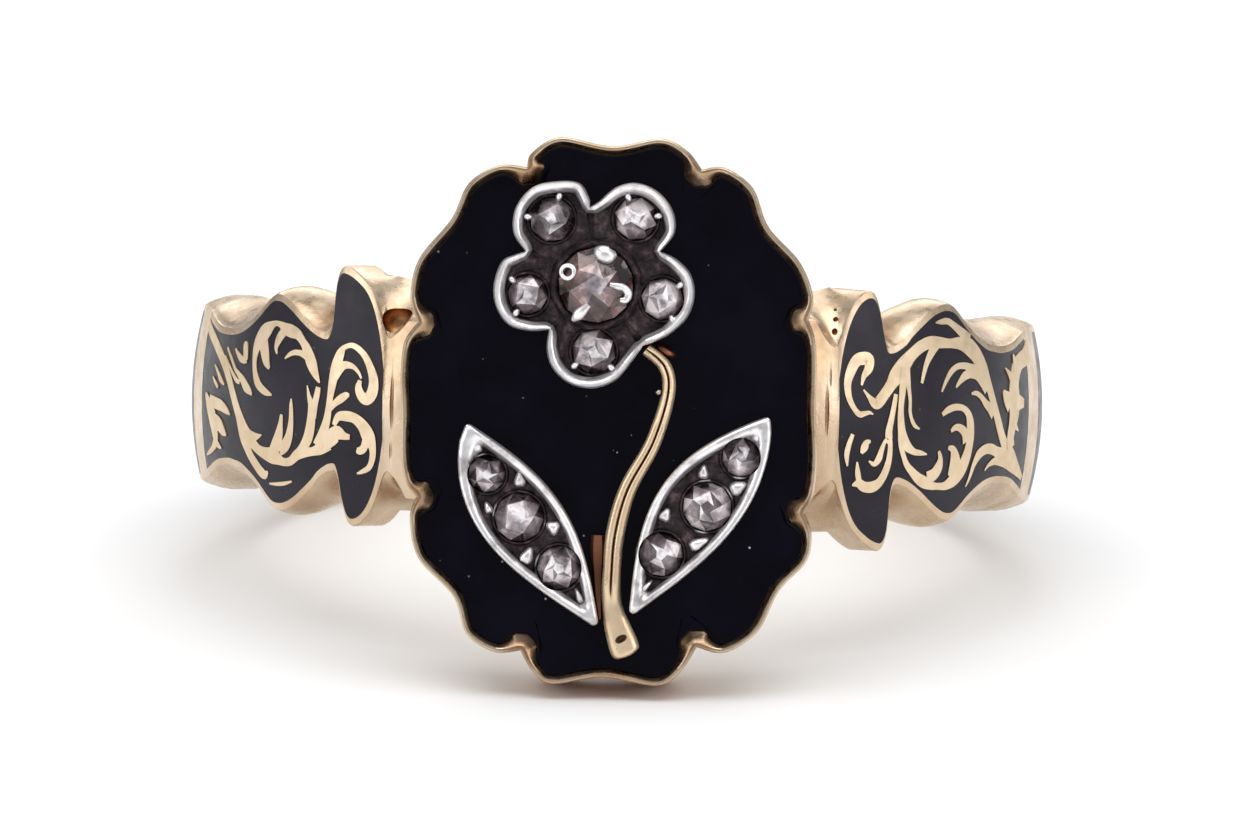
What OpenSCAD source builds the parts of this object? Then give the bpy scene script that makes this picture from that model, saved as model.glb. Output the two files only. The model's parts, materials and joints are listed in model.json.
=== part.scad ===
// Mourning ring with a scalloped black enamel face, an applied flower spray and enamelled shoulders.
// Own frame: the finger hole runs along Z, the face looks along -Y and +X is to the right of it.
// The finished ring is laid on its side, so that it rests on the edge of the face and the back of the hoop.

/* [Hoop] */
// Diameter of the finger hole
finger_d = 17.3; // [15:0.1:21]
// Thickness of the hoop at the middle of its width
hoop_wall = 1.45; // [1.25:0.05:2]
// How far the outer surface of the hoop falls away towards its edges
hoop_crown = 0.38; // [0.1:0.02:0.45]
// Width of the hoop at its back
back_w = 3.7; // [3:0.1:5]
// Height of the shoulders over the tips of the wings
shoulder_h = 6.4; // [5.6:0.1:7.6]
// Angle from the middle of the face to the gold bar that ends each shoulder
bar_angle = 74.5; // [70:0.5:80]
// Width of the gold bar along the hoop
bar_w = 1.2; // [0.6:0.1:1.8]
// Gold left standing between the enamel and an edge
border_w = 0.17; // [0.12:0.01:0.25]

/* [Bezel] */
// Width of the face
face_w = 9.56; // [8.8:0.02:10.4]
// Height of the face
face_h = 12.6; // [11.8:0.1:14]
// Depth of the bezel from its back to the top of its rim
bezel_depth = 2.1; // [1.8:0.05:2.8]
// How far the back of the bezel stands off the finger hole
bezel_lift = 0.45; // [0.3:0.05:0.8]
// Width of the rim round the face
rim_w = 0.19; // [0.15:0.01:0.3]
// How far the rim stands above the enamel
rim_proud = 0.28; // [0.1:0.02:0.4]
// How far the wall of the bezel draws in at its back
bezel_draw = 0.35; // [0.1:0.05:0.6]

/* [Enamel] */
// Thickness of the enamel on the face
face_enamel_t = 0.4; // [0.25:0.05:0.6]
// Thickness of the enamel on the hoop
hoop_enamel_t = 0.28; // [0.2:0.02:0.4]

/* [Spray] */
// Height of the flower spray, which sets where the flower, the leaves and the stem stand
spray_h = 10.9; // [10:0.1:11.6]
// Radius of a petal
petal_r = 0.84; // [0.78:0.02:0.9]
// Thickness of the silver of the flower and the leaves
setting_t = 0.78; // [0.7:0.02:1]
// Depth of the hollows that the small stones sit in
setting_hollow = 0.36; // [0.25:0.02:0.45]
// Width of the raised silver rims
silver_rim_w = 0.17; // [0.12:0.01:0.22]
// Length of a leaf
leaf_len = 5.5; // [5:0.1:5.8]
// Height of the gold stem above the enamel
stem_t = 0.5; // [0.35:0.05:0.7]
// Width of the stem at its middle
stem_w = 0.42; // [0.3:0.02:0.48]

/* [Stones] */
// Diameter of the middle stone of the flower
centre_stone_d = 1.72; // [1.5:0.02:1.8]
// Diameter of the largest petal stone
petal_stone_d = 1.0; // [0.8:0.02:1.06]
// Diameter of the largest leaf stone
leaf_stone_d = 1.02; // [0.8:0.02:1.1]
// Height of a cut stone as a share of its diameter
stone_rise = 0.4; // [0.3:0.02:0.45]
// Sides of a cut stone
stone_sides = 12; // [8:4:16]

/* [Fits] */
// Gap between a piece and the seat that holds it
fit_gap = 0.02; // [0.01:0.005:0.03]

/* [Hidden] */

gold = [0.86, 0.72, 0.48];
silver = [0.86, 0.85, 0.87];
face_black = [0.05, 0.04, 0.08];
hoop_black = [0.2, 0.19, 0.23];
diamond = [0.72, 0.74, 0.8];

hole_r = finger_d / 2;
hoop_r = hole_r + hoop_wall;
// Cuts run this far past the surface that they open
past = 1;
// Pieces that are fused reach this far into each other
bite = 0.4;
round_fn = 96;

// Edge of the face, one row for each lobe, clockwise from the upper left notch. Places are shares of the
// half width and the half height of the face.
// Columns: notch, shoulder, hump, dip, hump, shoulder
face_lobes = [
    [[-0.412, 0.882], [-0.390, 0.935], [-0.256, 0.994], [-0.006, 0.964], [0.224, 0.995], [0.350, 0.953]],
    [[0.423, 0.884], [0.533, 0.893], [0.670, 0.820], [0.748, 0.680], [0.900, 0.555], [0.968, 0.430]],
    [[0.946, 0.346], [0.975, 0.290], [0.990, 0.190], [0.990, 0.000], [1.000, -0.160], [0.985, -0.290]],
    [[0.944, -0.355], [0.980, -0.440], [0.955, -0.535], [0.830, -0.640], [0.730, -0.790], [0.575, -0.868]],
    [[0.440, -0.850], [0.362, -0.943], [0.250, -0.994], [-0.010, -0.966], [-0.250, -0.994], [-0.345, -0.947]],
    [[-0.404, -0.873], [-0.533, -0.880], [-0.665, -0.815], [-0.730, -0.680], [-0.900, -0.545], [-0.945, -0.400]],
    [[-0.913, -0.320], [-0.965, -0.270], [-0.990, -0.170], [-0.992, -0.020], [-1.000, 0.120], [-0.985, 0.240]],
    [[-0.924, 0.311], [-0.960, 0.410], [-0.920, 0.545], [-0.770, 0.690], [-0.690, 0.820], [-0.550, 0.887]]
];
lobe_steps = 3;

// Edges of a shoulder. The first column runs from the bezel, 0, to the far side of the gold bar, 1.
// The others are heights above the middle of the hoop, as shares of half the shoulder height.
// Columns: along, high edge, low edge
shoulder_edges = [
    [0.000, 0.610, 0.670], [0.027, 0.530, 0.540], [0.054, 0.490, 0.480], [0.072, 0.590, 0.560],
    [0.091, 0.700, 0.680], [0.109, 0.790, 0.765], [0.128, 0.860, 0.820], [0.147, 0.915, 0.855],
    [0.167, 0.960, 0.880], [0.187, 0.985, 0.890], [0.193, 0.990, 0.850], [0.202, 0.995, 0.600],
    [0.212, 1.000, 0.500], [0.218, 0.960, 0.486], [0.226, 0.720, 0.488], [0.235, 0.560, 0.492],
    [0.244, 0.522, 0.500], [0.275, 0.532, 0.548], [0.300, 0.562, 0.610], [0.338, 0.622, 0.682],
    [0.376, 0.690, 0.745], [0.414, 0.748, 0.785], [0.443, 0.778, 0.795], [0.471, 0.780, 0.780],
    [0.490, 0.755, 0.740], [0.510, 0.710, 0.685], [0.530, 0.662, 0.634], [0.568, 0.594, 0.564],
    [0.606, 0.548, 0.514], [0.644, 0.526, 0.496], [0.682, 0.520, 0.486], [0.758, 0.536, 0.505],
    [0.834, 0.596, 0.560], [0.910, 0.658, 0.606], [1.000, 0.680, 0.630]
];
// Rows of the tips of the high and of the low wing, and where their enamel begins along the shoulder
wing_rows = [12, 9];
wing_inner_along = 0.055;
// Height of the wings' enamel, high and low, as shares of half the shoulder height
wing_heights = [0.95, 0.855];
// Angle by which the tip of the high and of the low wing leans away from the face, in degrees, the share of
// half the shoulder height at which the lean begins, and the run of the shoulder that it fades over
wing_lean = [1.3, 0.3];
lean_begins = 0.5;
lean_run = 0.11;
// Height of the gold behind the neck, as a share of half the shoulder height
neck_back = 0.92;
// Edges of a shoulder at the finger hole, past the wings, where the waves are shallower. The first column
// runs as before, the others are shares of half the shoulder height.
// Columns: along, high edge, low edge
inner_edges = [
    [0.000, 0.620, 0.580], [0.220, 0.620, 0.580], [0.270, 0.690, 0.655], [0.340, 0.770, 0.740],
    [0.440, 0.825, 0.805], [0.500, 0.815, 0.790], [0.600, 0.740, 0.685], [0.700, 0.720, 0.640],
    [0.800, 0.740, 0.655], [0.900, 0.750, 0.680], [1.000, 0.745, 0.680]
];

// Petals, clockwise from the upper left one
// Columns: angle from the top, gap from the collar to the stone as a share of petal_r, share of the
// stone diameter
petals = [[-35, 0.40, 0.94], [30, 0.37, 0.90], [101, 0.13, 0.88], [181, 0.08, 0.92], [261, 0.19, 0.84]];
// Outline of the flower, one row for each petal, clockwise from the upper left one. Places are shares of
// flower_r, from the middle of the flower.
// Columns: notch before the petal, side, shoulder, brow, brow, shoulder, side
flower_lobes = [
    [[-0.613, 0.281], [-0.722, 0.438], [-0.705, 0.655], [-0.562, 0.833], [-0.351, 0.889], [-0.160, 0.875],
        [-0.076, 0.757]],
    [[-0.064, 0.670], [0.016, 0.724], [0.159, 0.847], [0.332, 0.886], [0.522, 0.813], [0.654, 0.646],
        [0.670, 0.457]],
    [[0.550, 0.298], [0.688, 0.234], [0.813, 0.108], [0.853, -0.075], [0.797, -0.263], [0.660, -0.403],
        [0.540, -0.470]],
    [[0.417, -0.517], [0.321, -0.659], [0.182, -0.822], [-0.011, -0.894], [-0.218, -0.855], [-0.367, -0.721],
        [-0.417, -0.555]],
    [[-0.400, -0.394], [-0.571, -0.407], [-0.750, -0.358], [-0.860, -0.203], [-0.884, -0.009], [-0.818, 0.187],
        [-0.710, 0.247]]
];
// Grains that hold the middle stone
// Columns: angle from the top, share of the grain radius
grains = [[17, 1.15], [-65, 1.0], [105, 1.05], [206, 0.95]];
grain_r = 0.16;

// Places in the spray are shares of its height, from the middle of the face
flower_at = [-0.031, 0.266];
// The stem begins under the notch before this petal, at this distance out of it
stem_petal = 3;
stem_clear = 0.11;
stem_path = [
    [0.115, 0.098], [0.124, 0.041], [0.094, -0.063], [0.043, -0.161],
    [0.019, -0.249], [0.012, -0.328], [0.013, -0.408], [0.039, -0.490], [0.048, -0.513]
];
// Width of the stem at its start and at each of those places, as a share of its middle width
stem_widths = [0.70, 0.72, 0.76, 0.86, 0.96, 1.04, 1.00, 1.14, 1.62, 1.30];
stem_steps = 3;
// Dimple in the foot of the stem: its radius as a share of the stem's width, and how far its middle
// lies above the stem, as a share of the stem's height
dimple_share = 0.36;
dimple_rise = 0.1;
// Flat strip of gold on the left of the stem, beside the left leaf, between two sections of the stem
strip_first = 15;
strip_last = 22;
strip_height = 0.5;
// Columns: section of the stem, place across as a share of its half width
strip_edge = [[15, -2.0], [16, -2.1], [18, -1.9], [20, -1.5], [22, -1.1]];

// Leaves. Sides bow out from the line between base and tip by a share of the leaf's length.
// Columns: base place, lean from the top, left bow, left fullness, right bow, right fullness
leaves = [
    [[-0.0175, -0.4486], -34.0, 0.194, 0.75, 0.150, 1.0],
    [[0.0530, -0.4220], 34.3, 0.200, 0.95, 0.147, 0.8]
];
leaf_steps = 20;
// Leaf stones, from the tip down
// Columns: along from the tip, place across as a share of the leaf's length, share of the stone diameter
leaf_stones = [
    [[0.223, -0.040, 0.76], [0.447, -0.025, 1.00], [0.713, 0.000, 0.90]],
    [[0.205, 0.000, 0.78], [0.453, 0.003, 1.00], [0.725, -0.050, 0.90]]
];
// Grains between the leaf stones
// Columns: along from the tip, place across as a share of the leaf's length
leaf_grains = [
    [[0.325, 0.050], [0.322, -0.108], [0.575, 0.060], [0.605, -0.085]],
    [[0.350, -0.092], [0.583, -0.118], [0.318, 0.062], [0.600, 0.045]]
];
leaf_grain_r = 0.11;

// Distances from the finger axis to the back of the bezel, the top of its rim and the enamel of its face
bezel_back = hole_r + bezel_lift;
rim_top = bezel_back + bezel_depth;
face_y = rim_top - rim_proud;

// Angle at which the hoop comes out from behind the bezel, and where the gold bar ends
face_angle = asin(face_w / 2 / hoop_r);
bar_end = bar_angle + bar_w / hoop_r * 180 / PI;
// Angle past the bar by which the hoop has drawn in to its back width
taper_end = 140;
// Longest step between sections of a shoulder, as a share of its run, and between those of the back
shoulder_step = 0.021;
back_step = 6;
back_sections = 20;

// A point on a smooth curve through four points, between the middle two
function curve_point(a, b, c, d, t) =
    b + 0.5 * t * ((c - a) + t * ((2 * a - 5 * b + 4 * c - d) + t * (3 * (b - c) + d - a)));

// A smooth curve through a list of points, without its last point
function curve(p, steps) = let (n = len(p) - 1) [
    for (k = [0 : n - 1], s = [0 : steps - 1])
        curve_point(p[max(k - 1, 0)], p[k], p[k + 1], p[min(k + 2, n)], s / steps)
];

function smooth(t) = let (u = min(max(t, 0), 1)) u * u * (3 - 2 * u);

function unit(v) = v / norm(v);

// A closed edge through rows of lobes, each of which starts at its notch
function lobed(lobes) = [
    for (i = [0 : len(lobes) - 1]) each curve(concat(lobes[i], [lobes[(i + 1) % len(lobes)][0]]), lobe_steps)
];

// The edge of the face, clockwise
face_shares = lobed(face_lobes);
face_edge = [for (p = face_shares) [p[0] * face_w / 2, p[1] * face_h / 2]];
face_low = min([for (p = face_edge) p[1]]);

// Points set in from a closed clockwise edge. At a notch the wall is broader by a share.
face_per_lobe = len(face_lobes[0]) * lobe_steps;
function set_in(edge, w, notch_extra = 0, per_lobe = face_per_lobe) = let (n = len(edge)) [
    for (i = [0 : n - 1])
        let (
            along = unit(edge[(i + 1) % n] - edge[(i + n - 1) % n]),
            inward = [along[1], -along[0]],
            notch = (i % per_lobe == 0) ? 1 : 0
        )
        edge[i] + inward * w * (1 + notch_extra * notch)
];

// Share of half the shoulder height at a place along it, read from a column of a table of edges
function edge_share(table, along, column) = let (
    n = len(table) - 1,
    k = max([for (i = [0 : n - 1]) table[i][0] <= along ? i : 0]),
    a = table[max(k - 1, 0)],
    b = table[k],
    c = table[k + 1],
    d = table[min(k + 2, n)],
    span = c[0] - b[0],
    t = (along - b[0]) / span,
    slope_b = (c[column] - a[column]) / (c[0] - a[0]) * span,
    slope_c = (d[column] - b[column]) / (d[0] - b[0]) * span
) b[column] * (1 + 2 * t) * (1 - t) * (1 - t) + slope_b * t * (1 - t) * (1 - t)
    + c[column] * t * t * (3 - 2 * t) - slope_c * t * t * (1 - t);

// Place of an angle along its shoulder
function along_at(angle) = (abs(angle) - face_angle) / (bar_end - face_angle);

// Half height of the hoop at an angle from the face. Column 1 is the high edge, 2 the low one.
function edge_height(table, angle, column) = let (along = along_at(angle))
    along <= 0 ? table[0][column] * shoulder_h / 2
    : along < 1 ? edge_share(table, along, column) * shoulder_h / 2
    : let (end = table[len(table) - 1][column] * shoulder_h / 2)
        end + (back_w / 2 - end) * smooth((abs(angle) - bar_end) / (taper_end - bar_end));
function hoop_edge(angle, column) = edge_height(shoulder_edges, angle, column);

// Place of a wing's tip along the shoulder
function wing_along(column) = shoulder_edges[wing_rows[column - 1]][0];

// The same at the finger hole, where the gold behind the neck keeps its height up to the wing's tip
function hoop_inner_edge(angle, column) = let (
    kept = neck_back * shoulder_h / 2 * shoulder_edges[wing_rows[column - 1]][column],
    least = along_at(angle) < wing_along(column) ? kept : edge_height(inner_edges, angle, column)
) max(hoop_edge(angle, column), least);

// Upper and lower heights. The right shoulder is the left one turned half a turn about the face's normal.
function top_edge(angle) = angle < 0 ? 1 : 2;
function low_edge(angle) = angle < 0 ? 2 : 1;

// Half height over which the outer surface falls away by hoop_crown
function crown_reach(angle) = let (a = abs(angle))
    back_w / 2 + (shoulder_h - back_w) / 2 * (1 - smooth((a - face_angle) / (taper_end - face_angle)));

function outer_r(angle, z) = hoop_r - hoop_crown * pow(z / crown_reach(angle), 2);

// Lean of a wing at a height, in degrees away from the face
function lean(angle, z) = let (
    side = angle < 0 ? -1 : 1,
    column = side * z < 0 ? 1 : 2,
    near = 1 - smooth(abs(along_at(angle) - wing_along(column)) / lean_run),
    high = smooth((abs(z) / (shoulder_h / 2) - lean_begins) / (1 - lean_begins))
) side * wing_lean[column - 1] * near * high;

function round_point(angle, r, z) = let (a = angle + lean(angle, z)) [r * sin(a), -r * cos(a), z];

// Half height of the enamel in a shoulder, which starts as a crescent beside the bezel
function enamel_edge(angle, column) = let (
    u = min(max((along_at(angle) - wing_inner_along) / (wing_along(column) - wing_inner_along), 0), 1),
    crescent = wing_heights[column - 1] * shoulder_h / 2 * sqrt(1 - (1 - u) * (1 - u))
) min(crescent, hoop_edge(angle, column) - border_w);

// A closed solid through rings that have the same number of points. The ends are closed by fans.
module skin(rings, ring_closed = false) {
    n = len(rings[0]);
    m = len(rings);
    points = [for (r = rings) each r];
    centres = [for (r = [rings[0], rings[m - 1]]) [for (k = [0 : 2]) sum([for (p = r) p[k]]) / n]];
    last = ring_closed ? m - 1 : m - 2;
    sides = [
        for (j = [0 : last], i = [0 : n - 1])
            let (
                a = j * n + i,
                b = j * n + (i + 1) % n,
                c = ((j + 1) % m) * n + (i + 1) % n,
                d = ((j + 1) % m) * n + i
            )
            each [[a, b, c], [a, c, d]]
    ];
    first_cap = [for (i = [0 : n - 1]) [(i + 1) % n, i, m * n]];
    last_cap = [for (i = [0 : n - 1]) [(m - 1) * n + i, (m - 1) * n + (i + 1) % n, m * n + 1]];
    polyhedron(
        points = ring_closed ? points : concat(points, centres),
        faces = ring_closed ? sides : concat(sides, first_cap, last_cap)
    );
}

function sum(v, i = 0) = i >= len(v) ? 0 : v[i] + sum(v, i + 1);

// Angles of the hoop's sections, all the way round. The shoulder's follow the rows of its table.
function shoulder_angle(along) = face_angle + (bar_end - face_angle) * along;
shoulder_alongs = [
    for (i = [0 : len(shoulder_edges) - 2])
        let (
            from = shoulder_edges[i][0],
            to = shoulder_edges[i + 1][0],
            steps = ceil((to - from) / shoulder_step)
        )
        each [for (k = [0 : steps - 1]) from + (to - from) * k / steps]
];
shoulder_angles = [for (s = shoulder_alongs) shoulder_angle(s)];
back_angles = [for (a = [bar_end : back_step : 180 - back_step / 2]) a];
half_angles = concat([back_step / 2, face_angle / 2], shoulder_angles, back_angles);
hoop_angles = concat(
    half_angles, [180], [for (i = [len(half_angles) - 1 : -1 : 0]) 360 - half_angles[i]]
);

// Height at which a side wall ends inside the finger hole, on the line through its outer and inner edges
function bite_height(outer, inner, r) = inner + (inner - outer) * bite / (r - hole_r);

// One section of the hoop, from the low inner corner out, up and back
crown_shares = [-1, -0.72, -0.4, 0, 0.4, 0.72, 1];
function hoop_section(full_angle) = let (
    angle = full_angle > 180 ? full_angle - 360 : full_angle,
    top = hoop_edge(angle, top_edge(angle)),
    low = hoop_edge(angle, low_edge(angle)),
    inner_top = hoop_inner_edge(angle, top_edge(angle)),
    inner_low = hoop_inner_edge(angle, low_edge(angle)),
    heights = [for (s = crown_shares) s < 0 ? s * low : s * top]
) concat(
    [round_point(angle, hole_r - bite, -bite_height(low, inner_low, outer_r(angle, low)))],
    [for (z = heights) round_point(angle, outer_r(angle, z), z)],
    [round_point(angle, hole_r - bite, bite_height(top, inner_top, outer_r(angle, top)))]
);

// A sheet that follows the hoop between two angles, from floor_t below the surface to top_t above it
enamel_shares = [-1, -0.6, -0.2, 0.2, 0.6, 1];
function sheet_section(angle, top, low, floor_t, top_t) = let (
    heights = [for (s = enamel_shares) low + (top - low) * (s + 1) / 2]
) concat(
    [for (z = heights) round_point(angle, outer_r(angle, z) + top_t, z)],
    [for (i = [len(heights) - 1 : -1 : 0])
        round_point(angle, outer_r(angle, heights[i]) - floor_t, heights[i])]
);

// Enamel sheet of a shoulder, side -1 for the left and 1 for the right, grown by a gap all round.
// Its first section has some height, and no two sections lie closer than the least step.
least_step = 0.3;
sheet_first = shoulder_angle(wing_inner_along) + least_step;
sheet_angles = concat(
    [sheet_first],
    [for (a = shoulder_angles) if (a > sheet_first + least_step && a < bar_angle - least_step) a],
    [bar_angle]
);
module shoulder_sheet(side, grow, floor_t, top_t) {
    angles = sheet_angles;
    grow_angle = grow / hoop_r * 180 / PI;
    n = len(angles) - 1;
    skin([
        for (i = [0 : n])
            let (
                k = side < 0 ? n - i : i,
                moved = angles[k] + (k == 0 ? -grow_angle : k == n ? grow_angle : 0),
                angle = side * angles[k]
            )
            sheet_section(
                side * moved,
                enamel_edge(angle, top_edge(angle)) + grow,
                -enamel_edge(angle, low_edge(angle)) - grow,
                floor_t, top_t
            )
    ]);
}

module back_sheet(grow, floor_t, top_t) {
    grow_angle = grow / hoop_r * 180 / PI;
    first = bar_end - grow_angle;
    n = back_sections;
    skin([
        for (i = [0 : n])
            let (angle = first + (360 - 2 * first) * i / n, signed = angle > 180 ? angle - 360 : angle)
            sheet_section(
                signed,
                hoop_edge(signed, top_edge(signed)) - border_w + grow,
                -hoop_edge(signed, low_edge(signed)) + border_w - grow,
                floor_t, top_t
            )
    ]);
}

// The frame of the face: X to the right, Y up and Z out of the enamel
module on_face(height = 0) {
    translate([0, -face_y - height, 0]) rotate([90, 0, 0]) children();
}

// Curve of the bezel's wall towards its back
// Columns: distance in from the edge of the face and height over the back, as shares of bezel_draw
bezel_curve = [[1, 0], [0.3, 0.6], [0, 1.4]];

// How the ring lies: on the low edge of the bezel and on the low edge of the hoop's back
rest_y = bezel_back + bezel_draw * bezel_curve[2][1];
back_edge_r = hoop_r - hoop_crown;
rest_tilt = atan((-face_low - back_w / 2) / (rest_y + back_edge_r));
rest_lift = -face_low * cos(rest_tilt) - rest_y * sin(rest_tilt);
// Shift that brings the middle of the resting ring over the origin. The front is the rim or the silver.
front_reach = max(
    rim_top * cos(rest_tilt) - face_low * sin(rest_tilt),
    (face_y + fit_gap + setting_t) * cos(rest_tilt) - spray_h * leaves[0][0][1] * sin(rest_tilt)
);
back_lean = min(pow(back_w / 2, 2) * tan(rest_tilt) / (2 * hoop_crown), back_w / 2);
back_reach = (hoop_r - hoop_crown * pow(2 * back_lean / back_w, 2)) * cos(rest_tilt)
    + back_lean * sin(rest_tilt);
rest_shift = (front_reach - back_reach) / 2;

module at_rest() {
    translate([0, rest_shift, rest_lift]) rotate([-rest_tilt, 0, 0]) children();
}

// Bezel as rings set in towards its back
module bezel_body() {
    rings = concat(
        [for (c = bezel_curve) [bezel_draw * c[0], bezel_back + bezel_draw * c[1]]],
        [[0, rim_top]]
    );
    skin([
        for (r = rings)
            [for (p = set_in(face_edge, r[0])) [p[0], -r[1], p[1]]]
    ]);
}

module face_prism(edge, from, to) {
    on_face(from) linear_extrude(to - from) polygon(edge);
}

// Pits beside the necks, where the wings meet the bezel
// Columns: side, place along the shoulder, height as a share of half the shoulder height, radius
pits = [[-1, 0.045, 0.60, 0.34], [-1, 0.048, -0.60, 0.26], [1, 0.04, 0.60, 0.2], [1, 0.048, -0.58, 0.2]];
// Depth of their middles below the hoop's surface
pit_depth = 0.15;
module neck_pits() {
    for (p = pits)
        translate(round_point(p[0] * shoulder_angle(p[1]), hoop_r - pit_depth, p[2] * shoulder_h / 2))
            sphere(r = p[3], $fn = round_fn);
}

module hoop() color(gold) at_rest() {
    difference() {
        union() {
            skin([for (a = hoop_angles) hoop_section(a)], true);
            bezel_body();
        }
        cylinder(h = 2 * face_h, r = hole_r, center = true, $fn = round_fn);
        face_prism(set_in(face_edge, rim_w, 1), -face_enamel_t - fit_gap, rim_proud + past);
        for (side = [-1, 1]) shoulder_sheet(side, fit_gap, hoop_enamel_t + fit_gap, past);
        back_sheet(fit_gap, hoop_enamel_t + fit_gap, past);
        neck_pits();
    }
}

module face_enamel() color(face_black) at_rest() {
    face_prism(set_in(face_edge, rim_w + fit_gap, 1), -face_enamel_t, 0);
}

module shoulder_enamel(side) color(hoop_black) at_rest() {
    shoulder_sheet(side, 0, hoop_enamel_t, 0);
}

module back_enamel() color(hoop_black) at_rest() {
    back_sheet(0, hoop_enamel_t, 0);
}

// Place of a petal's stone, from the middle of the flower
function petal_reach(i) = collar_r + petals[i][1] * petal_r + petal_stone_d / 2 * petals[i][2];
function petal_at(i) = petal_reach(i) * [sin(petals[i][0]), cos(petals[i][0])];

// Depth of the small stones' seats below the hollows, and of the middle stone's below its collar
seat_depth = 0.14;
centre_seat_depth = 0.3;
// Width of the collar, and how far it stands above the petals
collar_w = 0.12;
collar_rise = 0.14;
// Height of a grain's middle above the collar, as a share of its radius
grain_rise = 0.6;

// Heights in the settings, above the enamel
hollow_z = setting_t - setting_hollow;
seat_z = hollow_z - seat_depth;
collar_z = setting_t + collar_rise;
centre_seat_z = collar_z - centre_seat_depth;
collar_r = centre_stone_d / 2 + fit_gap + collar_w;
grain_ring_r = collar_r - collar_w / 2;

// Reach of the flower, and its outline
flower_r = petal_reach(0) + petal_r;
flower_edge = [for (p = lobed(flower_lobes)) flower_r * p];
flower_per_lobe = len(flower_lobes[0]) * lobe_steps;

module flower_setting() color(silver) at_rest() on_face(fit_gap)
    translate(concat(spray_h * flower_at, [0])) {
        difference() {
            linear_extrude(setting_t) polygon(flower_edge);
            translate([0, 0, hollow_z])
                linear_extrude(setting_t) polygon(set_in(flower_edge, silver_rim_w, 0.4, flower_per_lobe));
            for (i = [0 : len(petals) - 1])
                translate(concat(petal_at(i), [seat_z]))
                    cylinder(h = setting_t, r = petal_stone_d / 2 * petals[i][2] + fit_gap, $fn = round_fn);
            cylinder(h = 3 * setting_t, r = grain_ring_r, center = true, $fn = round_fn);
        }
        difference() {
            cylinder(h = collar_z, r = collar_r, $fn = round_fn);
            translate([0, 0, centre_seat_z])
                cylinder(h = setting_t, r = centre_stone_d / 2 + fit_gap, $fn = round_fn);
        }
        for (g = grains)
            translate([grain_ring_r * sin(g[0]), grain_ring_r * cos(g[0]), collar_z + grain_r * grain_rise])
                sphere(r = grain_r * g[1], $fn = round_fn);
    }

// A rose cut stone with a small table, seated at a height
module cut_stone(d, z) {
    rise = d * stone_rise;
    // Columns: share of the radius, share of the rise
    tiers = [[1, 0], [1, 0.28], [0.72, 0.74], [0.34, 1]];
    skin([
        for (t = tiers)
            [for (i = [stone_sides - 1 : -1 : 0])
                let (a = i * 360 / stone_sides)
                [d / 2 * t[0] * cos(a), d / 2 * t[0] * sin(a), z + rise * t[1]]]
    ]);
}

module centre_stone() color(diamond) at_rest() on_face(fit_gap)
    translate(concat(spray_h * flower_at, [0])) cut_stone(centre_stone_d, centre_seat_z + fit_gap);

module petal_stone(i) color(diamond) at_rest() on_face(fit_gap)
    translate(concat(spray_h * flower_at + petal_at(i), [0]))
        cut_stone(petal_stone_d * petals[i][2], seat_z + fit_gap);

// The frame of a leaf: Y from its base to its tip
module on_leaf(k) {
    translate(concat(spray_h * leaves[k][0], [0])) rotate(-leaves[k][1]) children();
}

function leaf_side(bow, fullness, t, inset) =
    (leaf_len * bow - inset) * sin(180 * pow(t, fullness));

// Outline of a leaf, drawn in by a width. Places along it are counted from the tip.
point_inset = 2.6;
function leaf_edge(k, inset = 0) = let (
    f = leaves[k],
    length = leaf_len - 2 * point_inset * inset,
    steps = [for (i = [0 : leaf_steps]) i / leaf_steps]
) concat(
    [for (t = steps) [leaf_side(f[4], f[5], t, inset), leaf_len / 2 + length * (0.5 - t)]],
    [for (i = [leaf_steps - 1 : -1 : 1])
        [-leaf_side(f[2], f[3], steps[i], inset), leaf_len / 2 + length * (0.5 - steps[i])]]
);

module leaf_setting(k) color(silver) at_rest() on_face(fit_gap) on_leaf(k) {
    difference() {
        linear_extrude(setting_t) polygon(leaf_edge(k));
        translate([0, 0, hollow_z]) linear_extrude(setting_t) polygon(leaf_edge(k, silver_rim_w));
        for (s = leaf_stones[k])
            translate([leaf_len * s[1], leaf_len * (1 - s[0]), seat_z])
                cylinder(h = setting_t, r = leaf_stone_d / 2 * s[2] + fit_gap, $fn = round_fn);
    }
    for (g = leaf_grains[k])
        translate([leaf_len * g[1], leaf_len * (1 - g[0]), hollow_z]) sphere(r = leaf_grain_r, $fn = round_fn);
}

module leaf_stone(k, i) color(diamond) at_rest() on_face(fit_gap) on_leaf(k)
    let (s = leaf_stones[k][i])
    translate([leaf_len * s[1], leaf_len * (1 - s[0]), 0])
        cut_stone(leaf_stone_d * s[2], seat_z + fit_gap);

// Section of the stem across its run: a low roof with a groove along its middle
// Columns: place across as a share of the half width, height as a share of the stem's
stem_profile = [[-1, 0], [-0.86, 0.8], [-0.5, 1], [0, 0.72], [0.5, 1], [0.86, 0.8], [1, 0]];
stem_notch = flower_r * flower_lobes[stem_petal][0];
stem_start = spray_h * flower_at + stem_notch + stem_clear * unit(stem_notch);
stem_points = concat([stem_start], [for (p = stem_path) spray_h * p]);
stem_line = concat(curve(stem_points, stem_steps), [stem_points[len(stem_points) - 1]]);
stem_shares = concat(
    curve([for (w = stem_widths) [w, 0]], stem_steps), [[stem_widths[len(stem_widths) - 1], 0]]
);

// A strip along the stem between two places across it, given as shares of its half width
function stem_across(i, share) = let (
    n = len(stem_line) - 1,
    along = unit(stem_line[min(i + 1, n)] - stem_line[max(i - 1, 0)])
) stem_line[i] + [-along[1], along[0]] * stem_w / 2 * stem_shares[i][0] * share;

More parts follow.
